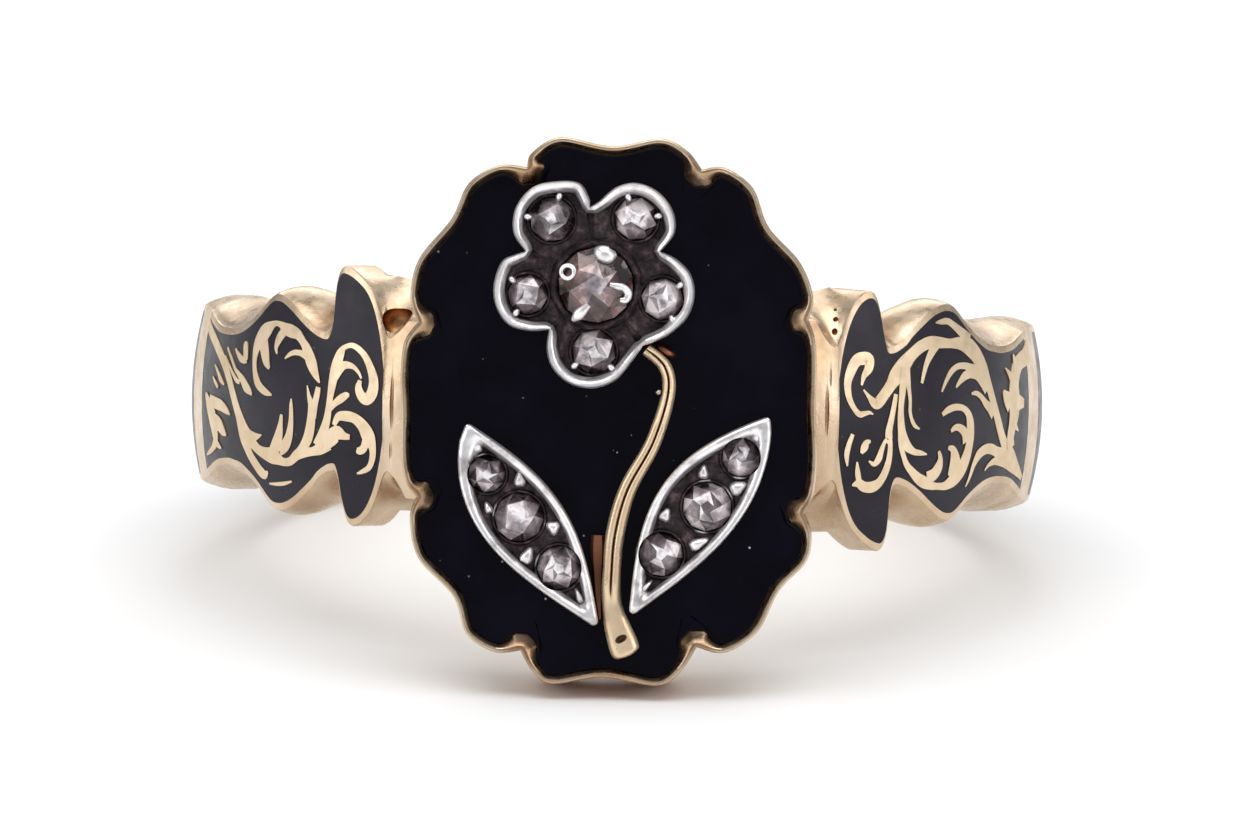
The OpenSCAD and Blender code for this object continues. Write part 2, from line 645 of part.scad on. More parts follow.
module stem() color(gold) at_rest() on_face(fit_gap) {
    n = len(stem_line) - 1;
    difference() {
        skin([
            for (i = [0 : n])
                [for (q = stem_profile) concat(stem_across(i, q[0]), [stem_t * q[1]])]
        ]);
        translate(concat(stem_line[n - stem_steps - 1], [stem_t * (1 + dimple_rise)]))
            sphere(r = stem_w * dimple_share, $fn = round_fn);
    }
    linear_extrude(stem_t * strip_height)
        polygon(concat(
            [for (p = strip_edge) stem_across(p[0], p[1])],
            [for (i = [strip_last : -1 : strip_first]) stem_across(i, 0)]
        ));
}

hoop();
face_enamel();
shoulder_enamel(-1);  // shoulder_enamel_left
shoulder_enamel(1);  // shoulder_enamel_right
back_enamel();
flower_setting();
centre_stone();  // flower_centre_stone
petal_stone(0);  // petal_stone_1
petal_stone(1);  // petal_stone_2
petal_stone(2);  // petal_stone_3
petal_stone(3);  // petal_stone_4
petal_stone(4);  // petal_stone_5
leaf_setting(0);  // leaf_setting_left
leaf_setting(1);  // leaf_setting_right
leaf_stone(0, 0);  // leaf_left_stone_1
leaf_stone(0, 1);  // leaf_left_stone_2
leaf_stone(0, 2);  // leaf_left_stone_3
leaf_stone(1, 0);  // leaf_right_stone_1
leaf_stone(1, 1);  // leaf_right_stone_2
leaf_stone(1, 2);  // leaf_right_stone_3
stem();
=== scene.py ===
"""Looks of the mourning ring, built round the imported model. Lengths are millimetres in the ring's own frame.

Own frame: the finger hole runs along Z, the face looks along -Y and +X is to the right of it.
On the face, x is to the right, y is up and the third value is the height above the enamel.
"""

import json
import math
import random

import bmesh
import bpy
import numpy as np
from mathutils import Matrix, Vector


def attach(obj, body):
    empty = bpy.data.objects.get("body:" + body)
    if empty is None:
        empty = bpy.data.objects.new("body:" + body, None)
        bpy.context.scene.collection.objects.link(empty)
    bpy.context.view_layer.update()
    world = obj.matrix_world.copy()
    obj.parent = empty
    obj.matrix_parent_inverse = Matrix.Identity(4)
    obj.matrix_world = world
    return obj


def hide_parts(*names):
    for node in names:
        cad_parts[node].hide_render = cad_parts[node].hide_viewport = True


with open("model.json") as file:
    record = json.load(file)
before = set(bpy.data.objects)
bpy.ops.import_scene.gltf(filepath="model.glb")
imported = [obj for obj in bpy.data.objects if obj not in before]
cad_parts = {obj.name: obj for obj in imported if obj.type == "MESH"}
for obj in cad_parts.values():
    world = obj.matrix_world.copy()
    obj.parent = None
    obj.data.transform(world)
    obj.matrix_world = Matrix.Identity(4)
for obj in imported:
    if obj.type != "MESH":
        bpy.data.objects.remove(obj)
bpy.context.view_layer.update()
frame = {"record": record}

MM = 0.001

# Sizes of the hoop
HOLE_R = 8.65
HOOP_R = 10.1
HOOP_CROWN = 0.38
BACK_W = 3.7
SHOULDER_H = 6.4
BAR_ANGLE = 74.5
BAR_W = 1.2
BORDER_W = 0.17
HOOP_ENAMEL_T = 0.28

# Sizes of the bezel and its face
FACE_W = 9.56
FACE_H = 12.6
BEZEL_BACK = 9.1
RIM_TOP = 11.2
FACE_Y = 10.92
RIM_W = 0.19
BEZEL_DRAW = 0.35
FACE_ENAMEL_T = 0.4

# Sizes of the spray
SPRAY_H = 10.9
PETAL_R = 0.84
SETTING_T = 0.78
HOLLOW_Z = 0.42
SEAT_Z = 0.28
COLLAR_Z = 0.92
LEAF_LEN = 5.5
STEM_T = 0.5
STEM_W = 0.42
CENTRE_STONE_D = 1.72
PETAL_STONE_D = 1.0
LEAF_STONE_D = 1.02
FIT_GAP = 0.02
# How much wider the small stones look than their solids, whose girdles stand behind the silver
STONE_SPREAD = 1.12

FACE_ANGLE = math.degrees(math.asin(FACE_W / 2 / HOOP_R))
BAR_END = BAR_ANGLE + math.degrees(BAR_W / HOOP_R)
TAPER_END = 140

# Edge of the face, one row for each lobe, clockwise from the upper left notch, as shares of its half sizes.
# Columns: notch, shoulder, hump, dip, hump, shoulder
FACE_LOBES = [
    [(-0.412, 0.882), (-0.390, 0.935), (-0.256, 0.994), (-0.006, 0.964), (0.224, 0.995), (0.350, 0.953)],
    [(0.423, 0.884), (0.533, 0.893), (0.670, 0.820), (0.748, 0.680), (0.900, 0.555), (0.968, 0.430)],
    [(0.946, 0.346), (0.975, 0.290), (0.990, 0.190), (0.990, 0.000), (1.000, -0.160), (0.985, -0.290)],
    [(0.944, -0.355), (0.980, -0.440), (0.955, -0.535), (0.830, -0.640), (0.730, -0.790), (0.575, -0.868)],
    [(0.440, -0.850), (0.362, -0.943), (0.250, -0.994), (-0.010, -0.966), (-0.250, -0.994),
     (-0.345, -0.947)],
    [(-0.404, -0.873), (-0.533, -0.880), (-0.665, -0.815), (-0.730, -0.680), (-0.900, -0.545),
     (-0.945, -0.400)],
    [(-0.913, -0.320), (-0.965, -0.270), (-0.990, -0.170), (-0.992, -0.020), (-1.000, 0.120),
     (-0.985, 0.240)],
    [(-0.924, 0.311), (-0.960, 0.410), (-0.920, 0.545), (-0.770, 0.690), (-0.690, 0.820), (-0.550, 0.887)],
]

# Edges of a shoulder: place along it, high edge and low edge as shares of half its height
SHOULDER_EDGES = np.array([
    (0.000, 0.610, 0.670), (0.027, 0.530, 0.540), (0.054, 0.490, 0.480), (0.072, 0.590, 0.560),
    (0.091, 0.700, 0.680), (0.109, 0.790, 0.765), (0.128, 0.860, 0.825), (0.147, 0.915, 0.865),
    (0.158, 0.942, 0.880), (0.167, 0.962, 0.885), (0.175, 0.978, 0.880), (0.182, 0.989, 0.862),
    (0.188, 0.996, 0.828), (0.194, 1.000, 0.768), (0.200, 0.996, 0.670), (0.206, 0.980, 0.560),
    (0.212, 0.945, 0.502), (0.218, 0.880, 0.487), (0.225, 0.745, 0.487), (0.233, 0.590, 0.490),
    (0.244, 0.522, 0.500), (0.275, 0.532, 0.548), (0.300, 0.562, 0.610), (0.338, 0.622, 0.682),
    (0.376, 0.690, 0.745), (0.414, 0.748, 0.785), (0.443, 0.778, 0.795), (0.471, 0.780, 0.780),
    (0.490, 0.755, 0.740), (0.510, 0.710, 0.685), (0.530, 0.662, 0.634), (0.568, 0.594, 0.564),
    (0.606, 0.548, 0.514), (0.644, 0.526, 0.496), (0.682, 0.520, 0.486), (0.758, 0.536, 0.505),
    (0.834, 0.596, 0.560), (0.910, 0.658, 0.606), (1.000, 0.680, 0.630),
])
# Edges of a shoulder at the finger hole, past the wings: place along it, high edge, low edge
INNER_EDGES = np.array([
    (0.000, 0.620, 0.580), (0.220, 0.620, 0.580), (0.270, 0.690, 0.655), (0.340, 0.770, 0.740),
    (0.440, 0.825, 0.805), (0.500, 0.815, 0.790), (0.600, 0.740, 0.685), (0.700, 0.720, 0.640),
    (0.800, 0.740, 0.655), (0.900, 0.750, 0.680), (1.000, 0.745, 0.680),
])
# Wing tips, for the high and the low edge: place along, height of the enamel as a share, lean in degrees
WING_ALONG = (0.212, 0.187)
WING_HEIGHTS = (0.95, 0.855)
WING_LEAN = (1.3, 0.3)
# Where the lean begins, as a share of half the height, and how far along it fades out
LEAN_BEGINS = 0.5
LEAN_RUN = 0.11
# Place along at which the enamel's field starts
WING_INNER_ALONG = 0.055
# Height of the necks at the finger hole as shares of the wing's.
# Columns: place along, lower sides, upper left, upper right
NECK_BACKS = np.array([
    (0.00, 0.91, 0.93, 0.98), (0.06, 0.92, 0.95, 1.04), (0.12, 0.92, 0.98, 1.08),
    (0.18, 0.92, 1.00, 1.07), (0.25, 0.92, 1.00, 1.04),
])

# Petals: angle from the top, gap to the stone as a share of PETAL_R, share of the stone
PETALS = [(-35, 0.40, 0.94), (30, 0.37, 0.90), (101, 0.13, 0.88), (181, 0.08, 0.92), (261, 0.19, 0.84)]
# Outline of the flower as shares of its reach, a row for each petal.
# Columns: notch before it, and six places round it
FLOWER_LOBES = [
    [(-0.613, 0.281), (-0.722, 0.438), (-0.705, 0.655), (-0.562, 0.833), (-0.351, 0.889), (-0.160, 0.875),
     (-0.076, 0.757)],
    [(-0.064, 0.670), (0.016, 0.724), (0.159, 0.847), (0.332, 0.886), (0.522, 0.813), (0.654, 0.646),
     (0.670, 0.457)],
    [(0.550, 0.298), (0.688, 0.234), (0.813, 0.108), (0.853, -0.075), (0.797, -0.263), (0.660, -0.403),
     (0.540, -0.470)],
    [(0.417, -0.517), (0.321, -0.659), (0.182, -0.822), (-0.011, -0.894), (-0.218, -0.855),
     (-0.367, -0.721), (-0.417, -0.555)],
    [(-0.400, -0.394), (-0.571, -0.407), (-0.750, -0.358), (-0.860, -0.203), (-0.884, -0.009),
     (-0.818, 0.187), (-0.710, 0.247)],
]
FLOWER_AT = np.array((-0.031, 0.266)) * SPRAY_H
COLLAR_W = 0.12
COLLAR_R = CENTRE_STONE_D / 2 + FIT_GAP + COLLAR_W

# Leaves: base place in shares of the spray, lean from the top, left bow and fullness, right bow and fullness
LEAVES = [
    ((-0.0175, -0.4486), -34.0, 0.194, 0.75, 0.150, 1.0),
    ((0.0530, -0.4220), 34.3, 0.200, 0.95, 0.147, 0.8),
]
# Leaf stones from the tip down: along from the tip, across as a share of the leaf, share of the stone
LEAF_STONES = [
    [(0.223, -0.040, 0.76), (0.447, -0.025, 1.00), (0.713, 0.000, 0.90)],
    [(0.205, 0.000, 0.78), (0.453, 0.003, 1.00), (0.725, -0.038, 0.90)],
]

# Stem: places in shares of the spray, and its width there as a share of the middle width
STEM_PATH = [
    (0.115, 0.098), (0.124, 0.041), (0.094, -0.063), (0.043, -0.161),
    (0.019, -0.249), (0.012, -0.328), (0.013, -0.408), (0.039, -0.490), (0.048, -0.513),
]
STEM_CLEAR = 0.11
STEM_PETAL = 3
STEM_WIDTHS = [0.70, 0.72, 0.76, 0.86, 0.96, 1.04, 1.00, 1.14, 1.62, 1.30]

# Camera: the photo's picture size, the ring's scale in it and where the finger axis stands in it
PHOTO_W = 1260
PHOTO_H = 840
PX_PER_MM = 42.1
AXIS_PX = (617, 401.5)
CAMERA_DISTANCE = 300
CAMERA_AZIMUTH = 0.9
CAMERA_RISE = 1.3
CAMERA_ROLL = 0.8
SENSOR_W = 36
CLIP_M = (0.01, 10)


def place_of_ring():
    """Matrix from the own frame in millimetres to the row frame in metres, read from the finger bore."""
    mount = next(m for m in frame["record"]["mounts"] if m["name"] == "finger_bore")
    axis = Vector(mount["axis"]).normalized()
    x = Vector((1, 0, 0))
    y = axis.cross(x)
    turn = Matrix((x, y, axis)).transposed()
    return Matrix.Translation(mount["pos_m"]) @ turn.to_4x4() @ Matrix.Scale(MM, 4)


RING = place_of_ring()


def on_face(points):
    """Points on the face, x right, y up and height above the enamel, in the own frame."""
    p = np.asarray(points, float)
    return np.stack([p[:, 0], -(FACE_Y + FIT_GAP + p[:, 2]), p[:, 1]], axis=1)


def smooth(t):
    u = np.clip(t, 0, 1)
    return u * u * (3 - 2 * u)


def curve(points, steps):
    """A smooth curve through points of any dimension, its last point included."""
    p = np.asarray(points, float)
    n = len(p) - 1
    out = []
    for k in range(n):
        a, b, c, d = p[max(k - 1, 0)], p[k], p[k + 1], p[min(k + 2, n)]
        for s in range(steps):
            t = s / steps
            bend = 2 * a - 5 * b + 4 * c - d + t * (3 * (b - c) + d - a)
            out.append(b + 0.5 * t * (c - a + t * bend))
    out.append(p[n])
    return np.array(out)


def lobed(lobes, steps):
    """The pieces of a closed outline, each a smooth curve from the notch of its row to the next one."""
    return [curve(lobe + [after[0]], steps)[:-1] for lobe, after in zip(lobes, lobes[1:] + lobes[:1])]


def heading(line, closed=False):
    """Unit steps along a line, one at each of its points."""
    line = np.asarray(line, float)
    ahead = np.roll(line, -1, axis=0) - np.roll(line, 1, axis=0) if closed else np.gradient(line, axis=0)
    return ahead / np.linalg.norm(ahead, axis=1)[:, None]


def sideways(line, closed=False):
    """The same in the plane, turned to the left."""
    ahead = heading(line, closed)
    return np.stack([-ahead[:, 1], ahead[:, 0]], axis=1)


# Meshes


def new_object(name, points, faces, placing=RING):
    """A mesh object from points in millimetres, placed in the row frame, with its faces turned outwards."""
    mesh = bpy.data.meshes.new(name)
    mesh.from_pydata([tuple(p) for p in points], [], faces)
    mesh.validate()
    mesh.transform(placing)
    bm = bmesh.new()
    bm.from_mesh(mesh)
    bmesh.ops.recalc_face_normals(bm, faces=bm.faces)
    bm.to_mesh(mesh)
    bm.free()
    obj = bpy.data.objects.new(name, mesh)
    bpy.context.scene.collection.objects.link(obj)
    return obj


def skin(rings, ring_closed=False):
    """Points and faces of a closed solid through rings with the same number of points."""
    m, n = len(rings), len(rings[0])
    points = [tuple(p) for ring in rings for p in ring]
    faces = []
    for j in range(m if ring_closed else m - 1):
        a, b = j * n, (j + 1) % m * n
        faces += [(a + i, a + (i + 1) % n, b + (i + 1) % n, b + i) for i in range(n)]
    if not ring_closed:
        faces += [tuple(reversed(range(n))), tuple(range((m - 1) * n, m * n))]
    return points, faces


def face_skin(rings, ring_closed=False):
    """The same through rings of points on the face."""
    points, faces = skin(rings, ring_closed)
    return on_face(points), faces


def apply_boolean(obj, others, operation):
    """Fuses other objects to obj or cuts them out of it, and removes them."""
    for other in others:
        cut = obj.modifiers.new("cut", "BOOLEAN")
        cut.operation = operation
        cut.solver = "MANIFOLD"
        cut.object = other
    depsgraph = bpy.context.evaluated_depsgraph_get()
    mesh = bpy.data.meshes.new_from_object(obj.evaluated_get(depsgraph))
    obj.modifiers.clear()
    obj.data = mesh
    for other in others:
        bpy.data.objects.remove(other)


def combine(obj, parts, operation):
    """The same with parts that are given as points and faces."""
    apply_boolean(obj, [new_object("part", *part) for part in parts], operation)


def finish_shading(obj, angle=None):
    """Gives a piece sharp edges from an angle up, or all flat faces without one."""
    mesh = obj.data
    mesh.polygons.foreach_set("use_smooth", [angle is not None] * len(mesh.polygons))
    if angle is not None:
        mesh.set_sharp_from_angle(angle=math.radians(angle))
    return obj


def own_points(piece):
    """The corners of a piece in the own frame."""
    back = RING.inverted()
    return np.array([back @ v.co for v in piece.data.vertices])


def add_attribute(piece, name, domain, values):
    piece.data.attributes.new(name, "FLOAT", domain).data.foreach_set("value", values)


def ball(centre, radii, segments=20, rings=12):
    """Points and faces of an ellipsoid in the own frame."""
    points = [(centre[0], centre[1], centre[2] - radii[2])]
    for j in range(1, rings):
        lat = -math.pi / 2 + math.pi * j / rings
        for i in range(segments):
            lon = 2 * math.pi * i / segments
            points.append((
                centre[0] + radii[0] * math.cos(lat) * math.cos(lon),
                centre[1] + radii[1] * math.cos(lat) * math.sin(lon),
                centre[2] + radii[2] * math.sin(lat),
            ))
    points.append((centre[0], centre[1], centre[2] + radii[2]))
    top = len(points) - 1
    faces = []
    for i in range(segments):
        k = (i + 1) % segments
        faces.append((0, 1 + k, 1 + i))
        faces.append((top, top - segments + i, top - segments + k))
        for j in range(rings - 2):
            a = 1 + j * segments
            faces.append((a + i, a + k, a + segments + k, a + segments + i))
    return points, faces


# The outline of the face


FACE_STEPS = 9
LOBE_POINTS = 6 * FACE_STEPS
NOTCH_REACH = 0.28


def face_edge():
    """Edge of the face as points, and how far along the edge each one is from the nearest notch."""
    edge = np.concatenate(lobed(FACE_LOBES, FACE_STEPS)) * (FACE_W / 2, FACE_H / 2)
    step = np.linalg.norm(np.roll(edge, -1, axis=0) - edge, axis=1)
    along = np.concatenate([[0], np.cumsum(step)[:-1]])
    away = np.abs(along[:, None] - along[None, ::LOBE_POINTS])
    return edge, np.minimum(away, step.sum() - away).min(axis=1)


EDGE, NOTCH_AWAY = face_edge()
EDGE_LEFT = sideways(EDGE, closed=True)


def set_in(w, notch_extra=0.0):
    """The face's edge drawn in by a width, and by more at the notches."""
    width = w + notch_extra * np.exp(-((NOTCH_AWAY / NOTCH_REACH) ** 2))
    return EDGE - EDGE_LEFT * width[:, None]


# The hoop


def edge_share(t, along, column):
    """Share of half the shoulder height at a place along it, from a column of a table of edges."""
    n = len(t) - 1
    k = min(int(np.searchsorted(t[:, 0], along, side="right")) - 1, n - 1)
    a, b, c, d = t[max(k - 1, 0)], t[k], t[k + 1], t[min(k + 2, n)]
    span = c[0] - b[0]
    u = (along - b[0]) / span
    slope_b = (c[column] - a[column]) / (c[0] - a[0]) * span
    slope_c = (d[column] - b[column]) / (d[0] - b[0]) * span
    return (
        b[column] * (1 + 2 * u) * (1 - u) ** 2 + slope_b * u * (1 - u) ** 2
        + c[column] * u * u * (3 - 2 * u) - slope_c * u * u * (1 - u)
    )


def along_of(angle):
    return (abs(angle) - FACE_ANGLE) / (BAR_END - FACE_ANGLE)


def angle_of(along):
    return FACE_ANGLE + (BAR_END - FACE_ANGLE) * along


def edge_height(table, angle, column):
    along = along_of(angle)
    if along <= 0:
        return table[0, column] * SHOULDER_H / 2
    if along < 1:
        return edge_share(table, along, column) * SHOULDER_H / 2
    end = table[-1, column] * SHOULDER_H / 2
    return end + (BACK_W / 2 - end) * smooth((abs(angle) - BAR_END) / (TAPER_END - BAR_END))


def hoop_edge(angle, column):
    return edge_height(SHOULDER_EDGES, angle, column)


def hoop_inner_edge(angle, column):
    """The same at the finger hole, where the neck keeps its height and the waves are shallower."""
    tip = edge_share(SHOULDER_EDGES, WING_ALONG[column - 1], column)
    side = 1 if column != top_column(angle) else 2 if angle < 0 else 3
    kept = float(np.interp(along_of(angle), NECK_BACKS[:, 0], NECK_BACKS[:, side])) * SHOULDER_H / 2 * tip
    past = edge_height(INNER_EDGES, angle, column)
    reach = 1 - smooth((along_of(angle) - WING_ALONG[column - 1]) / WING_FALL)
    return max(hoop_edge(angle, column), past + (kept - past) * reach)


def enamel_edge(angle, column):
    tip = WING_ALONG[column - 1]
    u = min(max((along_of(angle) - WING_INNER_ALONG) / (tip - WING_INNER_ALONG), 0), 1)
    crescent = WING_HEIGHTS[column - 1] * SHOULDER_H / 2 * math.sqrt(1 - (1 - u) ** 2)
    return min(crescent, hoop_edge(angle, column) - BORDER_W)


def top_column(angle):
    return 1 if angle < 0 else 2


def low_column(angle):
    return 2 if angle < 0 else 1


def lean(angle, z):
    side = -1 if angle < 0 else 1
    column = 1 if side * z < 0 else 2
    near = 1 - smooth(abs(along_of(angle) - WING_ALONG[column - 1]) / LEAN_RUN)
    high = smooth((abs(z) / (SHOULDER_H / 2) - LEAN_BEGINS) / (1 - LEAN_BEGINS))
    return side * WING_LEAN[column - 1] * near * high


def outer_r(angle, z):
    taper = smooth((abs(angle) - FACE_ANGLE) / (TAPER_END - FACE_ANGLE))
    reach = BACK_W / 2 + (SHOULDER_H - BACK_W) / 2 * (1 - taper)
    return HOOP_R - HOOP_CROWN * (z / reach) ** 2


def round_point(angle, r, z):
    a = math.radians(angle + lean(angle, z))
    return (r * math.sin(a), -r * math.cos(a), z)


FILLET = 0.09
# Rounding of the edges at the bore, how full the walls are, and the least gold beside the enamel
BORE_EDGE = 0.02
WALL_FULL = 0.10
BORDER_LEAST = 0.12
# Degrees past the face from which the walls are full, and over which they get so
FULL_FROM = (10, 4)
# How far along, past a wing's tip, its height at the finger hole falls
WING_FALL = 0.035
FLOOR_COLUMNS = 8
WALL_STEPS = (0.2, 0.4, 0.6, 0.8, 0.92)
# Stretch of the neck in which the wall's corner is eased, and how far along it is spread in degrees
NECK_EASE = (0.10, 0.05)
NECK_SPREAD = (-3, -2, -1, 0, 1, 2, 3)


def wall_height(angle, column, t):
    """Height of the hoop's wall, t of the way from the hole outwards, with the neck's corner eased."""
    outer, inner = hoop_edge(angle, column), hoop_inner_edge(angle, column)
    near = 1 - float(smooth((along_of(angle) - NECK_EASE[0]) / NECK_EASE[1]))
    eased = sum(hoop_edge(angle + d, column) for d in NECK_SPREAD) / len(NECK_SPREAD)
    full = WALL_FULL * float(smooth((abs(angle) - FACE_ANGLE - FULL_FROM[0]) / FULL_FROM[1]))
    edge = outer + (eased - outer) * near * (1 - t * t)
    return inner + (edge - inner) * t + full * math.sin(math.pi * t)


def wall_r(angle, z):
    """Reach of the hoop's surface at a height, on its outer face or on the wall beside it."""
    column = top_column(angle) if z > 0 else low_column(angle)
    outer, inner = hoop_edge(angle, column), hoop_inner_edge(angle, column)
    if abs(z) <= outer:
        return outer_r(angle, z)
    return HOLE_R + (outer_r(angle, outer) - HOLE_R) * (inner - abs(z)) / (inner - outer)


def hoop_section(angle, sunk):
    """One section of the hoop, round from the low inner corner. Where it is sunk it makes room for enamel."""
    top, low = hoop_edge(angle, top_column(angle)), hoop_edge(angle, low_column(angle))
    in_top, in_low = hoop_inner_edge(angle, top_column(angle)), hoop_inner_edge(angle, low_column(angle))
    e_top, e_low = enamel_edge(angle, top_column(angle)), enamel_edge(angle, low_column(angle))
    e_top, e_low = min(e_top, top - BORDER_LEAST), min(e_low, low - BORDER_LEAST)
    depth = HOOP_ENAMEL_T + FIT_GAP if sunk else 0
    r_low, r_top = outer_r(angle, low), outer_r(angle, top)
    half = FILLET / 2
    profile = [(HOLE_R, -in_low + FILLET), (HOLE_R + BORE_EDGE, -in_low + half / 2)]
    profile += [(HOLE_R + FILLET, -in_low)]
    for t in WALL_STEPS:
        profile.append((HOLE_R + (r_low - HOLE_R) * t, -wall_height(angle, low_column(angle), t)))
    profile += [(r_low - half, -low), (r_low - half / 4, -low + half / 3), (r_low, -low + half)]
    profile += [(outer_r(angle, -e_low), -e_low)]
    for k in range(FLOOR_COLUMNS + 1):
        z = -e_low + (e_top + e_low) * k / FLOOR_COLUMNS
        profile.append((outer_r(angle, z) - depth, z))
    profile += [(outer_r(angle, e_top), e_top)]
    profile += [(r_top, top - half), (r_top - half / 4, top - half / 3), (r_top - half, top)]
    for t in reversed(WALL_STEPS):
        profile.append((HOLE_R + (r_top - HOLE_R) * t, wall_height(angle, top_column(angle), t)))
    profile += [(HOLE_R + FILLET, in_top), (HOLE_R + BORE_EDGE, in_top - half / 2), (HOLE_R, in_top - FILLET)]
    return [round_point(angle, r, z) for r, z in profile]


# Steps between the sections in degrees: on the shoulders, at the wings (a stretch of places along) and at the
# back, the last angle there, and the width of the edge of a sunk field
SHOULDER_STEP = 0.45
WING_STEP = 0.18
WINGS = (0.165, 0.25)
BACK_STEP = 2.5
BACK_LAST = 179
STEP_EDGE = 0.06
# Angles of the sections behind the face, the step of those on the necks, and how many degrees past
# WING_INNER_ALONG the sunk field starts
BEHIND_FACE = (2, 9, 16, 22, 26)
NECK_STEP = 0.4
FIELD_START = 0.3


def shoulder_angles(start, end):
    """Angles along a shoulder, closer together at the wing tips."""
    angles, angle = [], start
    while angle < end:
        angles.append(angle)
        angle += WING_STEP if WINGS[0] < along_of(angle) < WINGS[1] else SHOULDER_STEP
    return angles


def hoop_stations():
    """Angles of half the hoop's sections, and whether each is sunk for enamel."""
    start = angle_of(WING_INNER_ALONG) + FIELD_START
    stations = [(a, False) for a in BEHIND_FACE]
    stations += [(a, False) for a in np.arange(FACE_ANGLE, start - NECK_STEP / 2, NECK_STEP)]
    stations += [(start, False)]
    stations += [(a, True) for a in shoulder_angles(start + STEP_EDGE, BAR_ANGLE)]
    stations += [(BAR_ANGLE, True), (BAR_ANGLE + STEP_EDGE, False)]
    stations += [(BAR_END - STEP_EDGE, False), (BAR_END, True)]
    stations += [(a, True) for a in np.arange(BAR_END + BACK_STEP, BACK_LAST, BACK_STEP)]
    return stations


def make_hoop():
    """The gold hoop with its shoulders and bezel, as one piece."""
    half = hoop_stations()
    sections = [hoop_section(a, sunk) for a, sunk in half]
    sections += [hoop_section(180, True)]
    sections += [hoop_section(-a, sunk) for a, sunk in reversed(half)]
    hoop = new_object("ring_hoop", *skin(sections, ring_closed=True))
    combine(hoop, [bezel_shell()], "UNION")
    combine(hoop, [ball(centre, radii) for centre, radii in neck_pits()], "DIFFERENCE")
    finish_shading(hoop, 32)
    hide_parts("hoop")
    return hoop


# Section of the bezel from its drawn in back over the rim to its floor: inset, more at the notches, height
BEZEL_ROWS = [
    (BEZEL_DRAW, 0, BEZEL_BACK), (BEZEL_DRAW * 0.5, 0, BEZEL_BACK + 0.10),
    (BEZEL_DRAW * 0.22, 0, BEZEL_BACK + 0.24), (BEZEL_DRAW * 0.06, 0, BEZEL_BACK + 0.38),
    (0, 0, BEZEL_BACK + 0.49), (0, 0, RIM_TOP - 0.5), (0, 0, RIM_TOP - 0.07),
    (0.012, 0, RIM_TOP - 0.03), (0.04, 0, RIM_TOP - 0.005), (0.07, 0, RIM_TOP),
    (0.10, 0.01, RIM_TOP - 0.008), (0.125, 0.03, RIM_TOP - 0.035), (0.15, 0.10, RIM_TOP - 0.12),
    (RIM_W, 0.21, FACE_Y - 0.01), (RIM_W, 0.21, FACE_Y - FACE_ENAMEL_T - FIT_GAP),
]


def bezel_shell():
    """The scalloped tray: a wall drawn in at its back, a rounded rim and a sunk floor."""
    return skin([[(x, -height, z) for x, z in set_in(inset, notch)] for inset, notch, height in BEZEL_ROWS])


# Hollows of the necks. Columns: angle from the face, height, how far the middle is sunk, radii
PITS = [
    (-30.8, 1.93, -0.03, (0.40, 0.34, 0.38)),
    (32.4, 2.15, 0.00, (0.07, 0.10, 0.07)), (31.7, 1.85, 0.00, (0.08, 0.10, 0.11)),
    (32.9, 2.38, 0.0, (0.04, 0.07, 0.04)),
    (-30.05, 0.12, 0.0, (0.05, 0.07, 0.85)), (-30.3, -1.1, 0.0, (0.04, 0.05, 0.25)),
    (29.65, 0.05, 0.0, (0.05, 0.07, 0.78)), (30.2, 0.9, 0.0, (0.03, 0.05, 0.3)),
]


def neck_pits():
    return [(round_point(angle, wall_r(angle, z) - sink, z), radii) for angle, z, sink, radii in PITS]


# Brown stains and painted shade in the hollows of the gold. Columns: angle from the face, height, reach,
# strength
STAINS_AND_SHADE = [
    (-31.0, 1.95, 0.55, 0.6), (-31.0, -1.9, 0.6, 0.9), (-29.4, -2.1, 0.5, 0.8), (-28.6, 1.9, 0.4, 0.4),
    (28.8, 2.0, 0.5, 0.6), (31.0, 2.1, 0.5, 0.3), (30.0, -2.1, 0.6, 0.5), (28.6, -1.9, 0.5, 0.6),
    (-42.5, 1.85, 0.6, 0.75), (-41.5, -1.8, 0.6, 0.75), (42.0, 1.9, 0.6, 0.6), (42.5, -1.9, 0.6, 0.7),
    (-48.0, -2.4, 0.7, 0.6), (-66.0, 1.9, 0.8, 0.6), (-67.0, -1.8, 0.8, 0.6), (66.0, -1.9, 0.8, 0.55),
    (66.0, 1.9, 0.8, 0.5),
]
# Stains and painted shade in the notches of the rim, their reach, and how soft the edge of every patch of them
# is
NOTCH_STAIN_AND_SHADE = 0.75
NOTCH_STAIN_AND_SHADE_REACH = 0.5
STAIN_AND_SHADE_FADE = 1.3


def add_stains_and_shade(piece):
    """How much stain and painted shade the gold gets at each point."""
    own = own_points(piece)
    places = [
        (round_point(angle, wall_r(angle, z), z), reach, strength) for angle, z, reach, strength in STAINS_AND_SHADE
    ]
    places += [((x, -RIM_TOP, z), NOTCH_STAIN_AND_SHADE_REACH, NOTCH_STAIN_AND_SHADE) for x, z in EDGE[::LOBE_POINTS]]
    stain_and_shade = np.zeros(len(own))
    for place, reach, strength in places:
        far = np.linalg.norm(own - np.array(place), axis=1)
        stain_and_shade = np.maximum(stain_and_shade, strength * smooth(STAIN_AND_SHADE_FADE - far / reach))
    add_attribute(piece, "stain_and_shade", "POINT", stain_and_shade)


# Enamel


# Section of the plate's edge: inset, more at the notches, height above the enamel
PLATE_ROWS = [
    (RIM_W + 0.015, 0.215, -FACE_ENAMEL_T), (RIM_W + 0.015, 0.215, 0.012),
    (RIM_W + 0.06, 0.22, 0.0), (RIM_W + 0.10, 0.22, 0.0),
]
PLATE_INNER_SHARES = (0.86, 0.4)


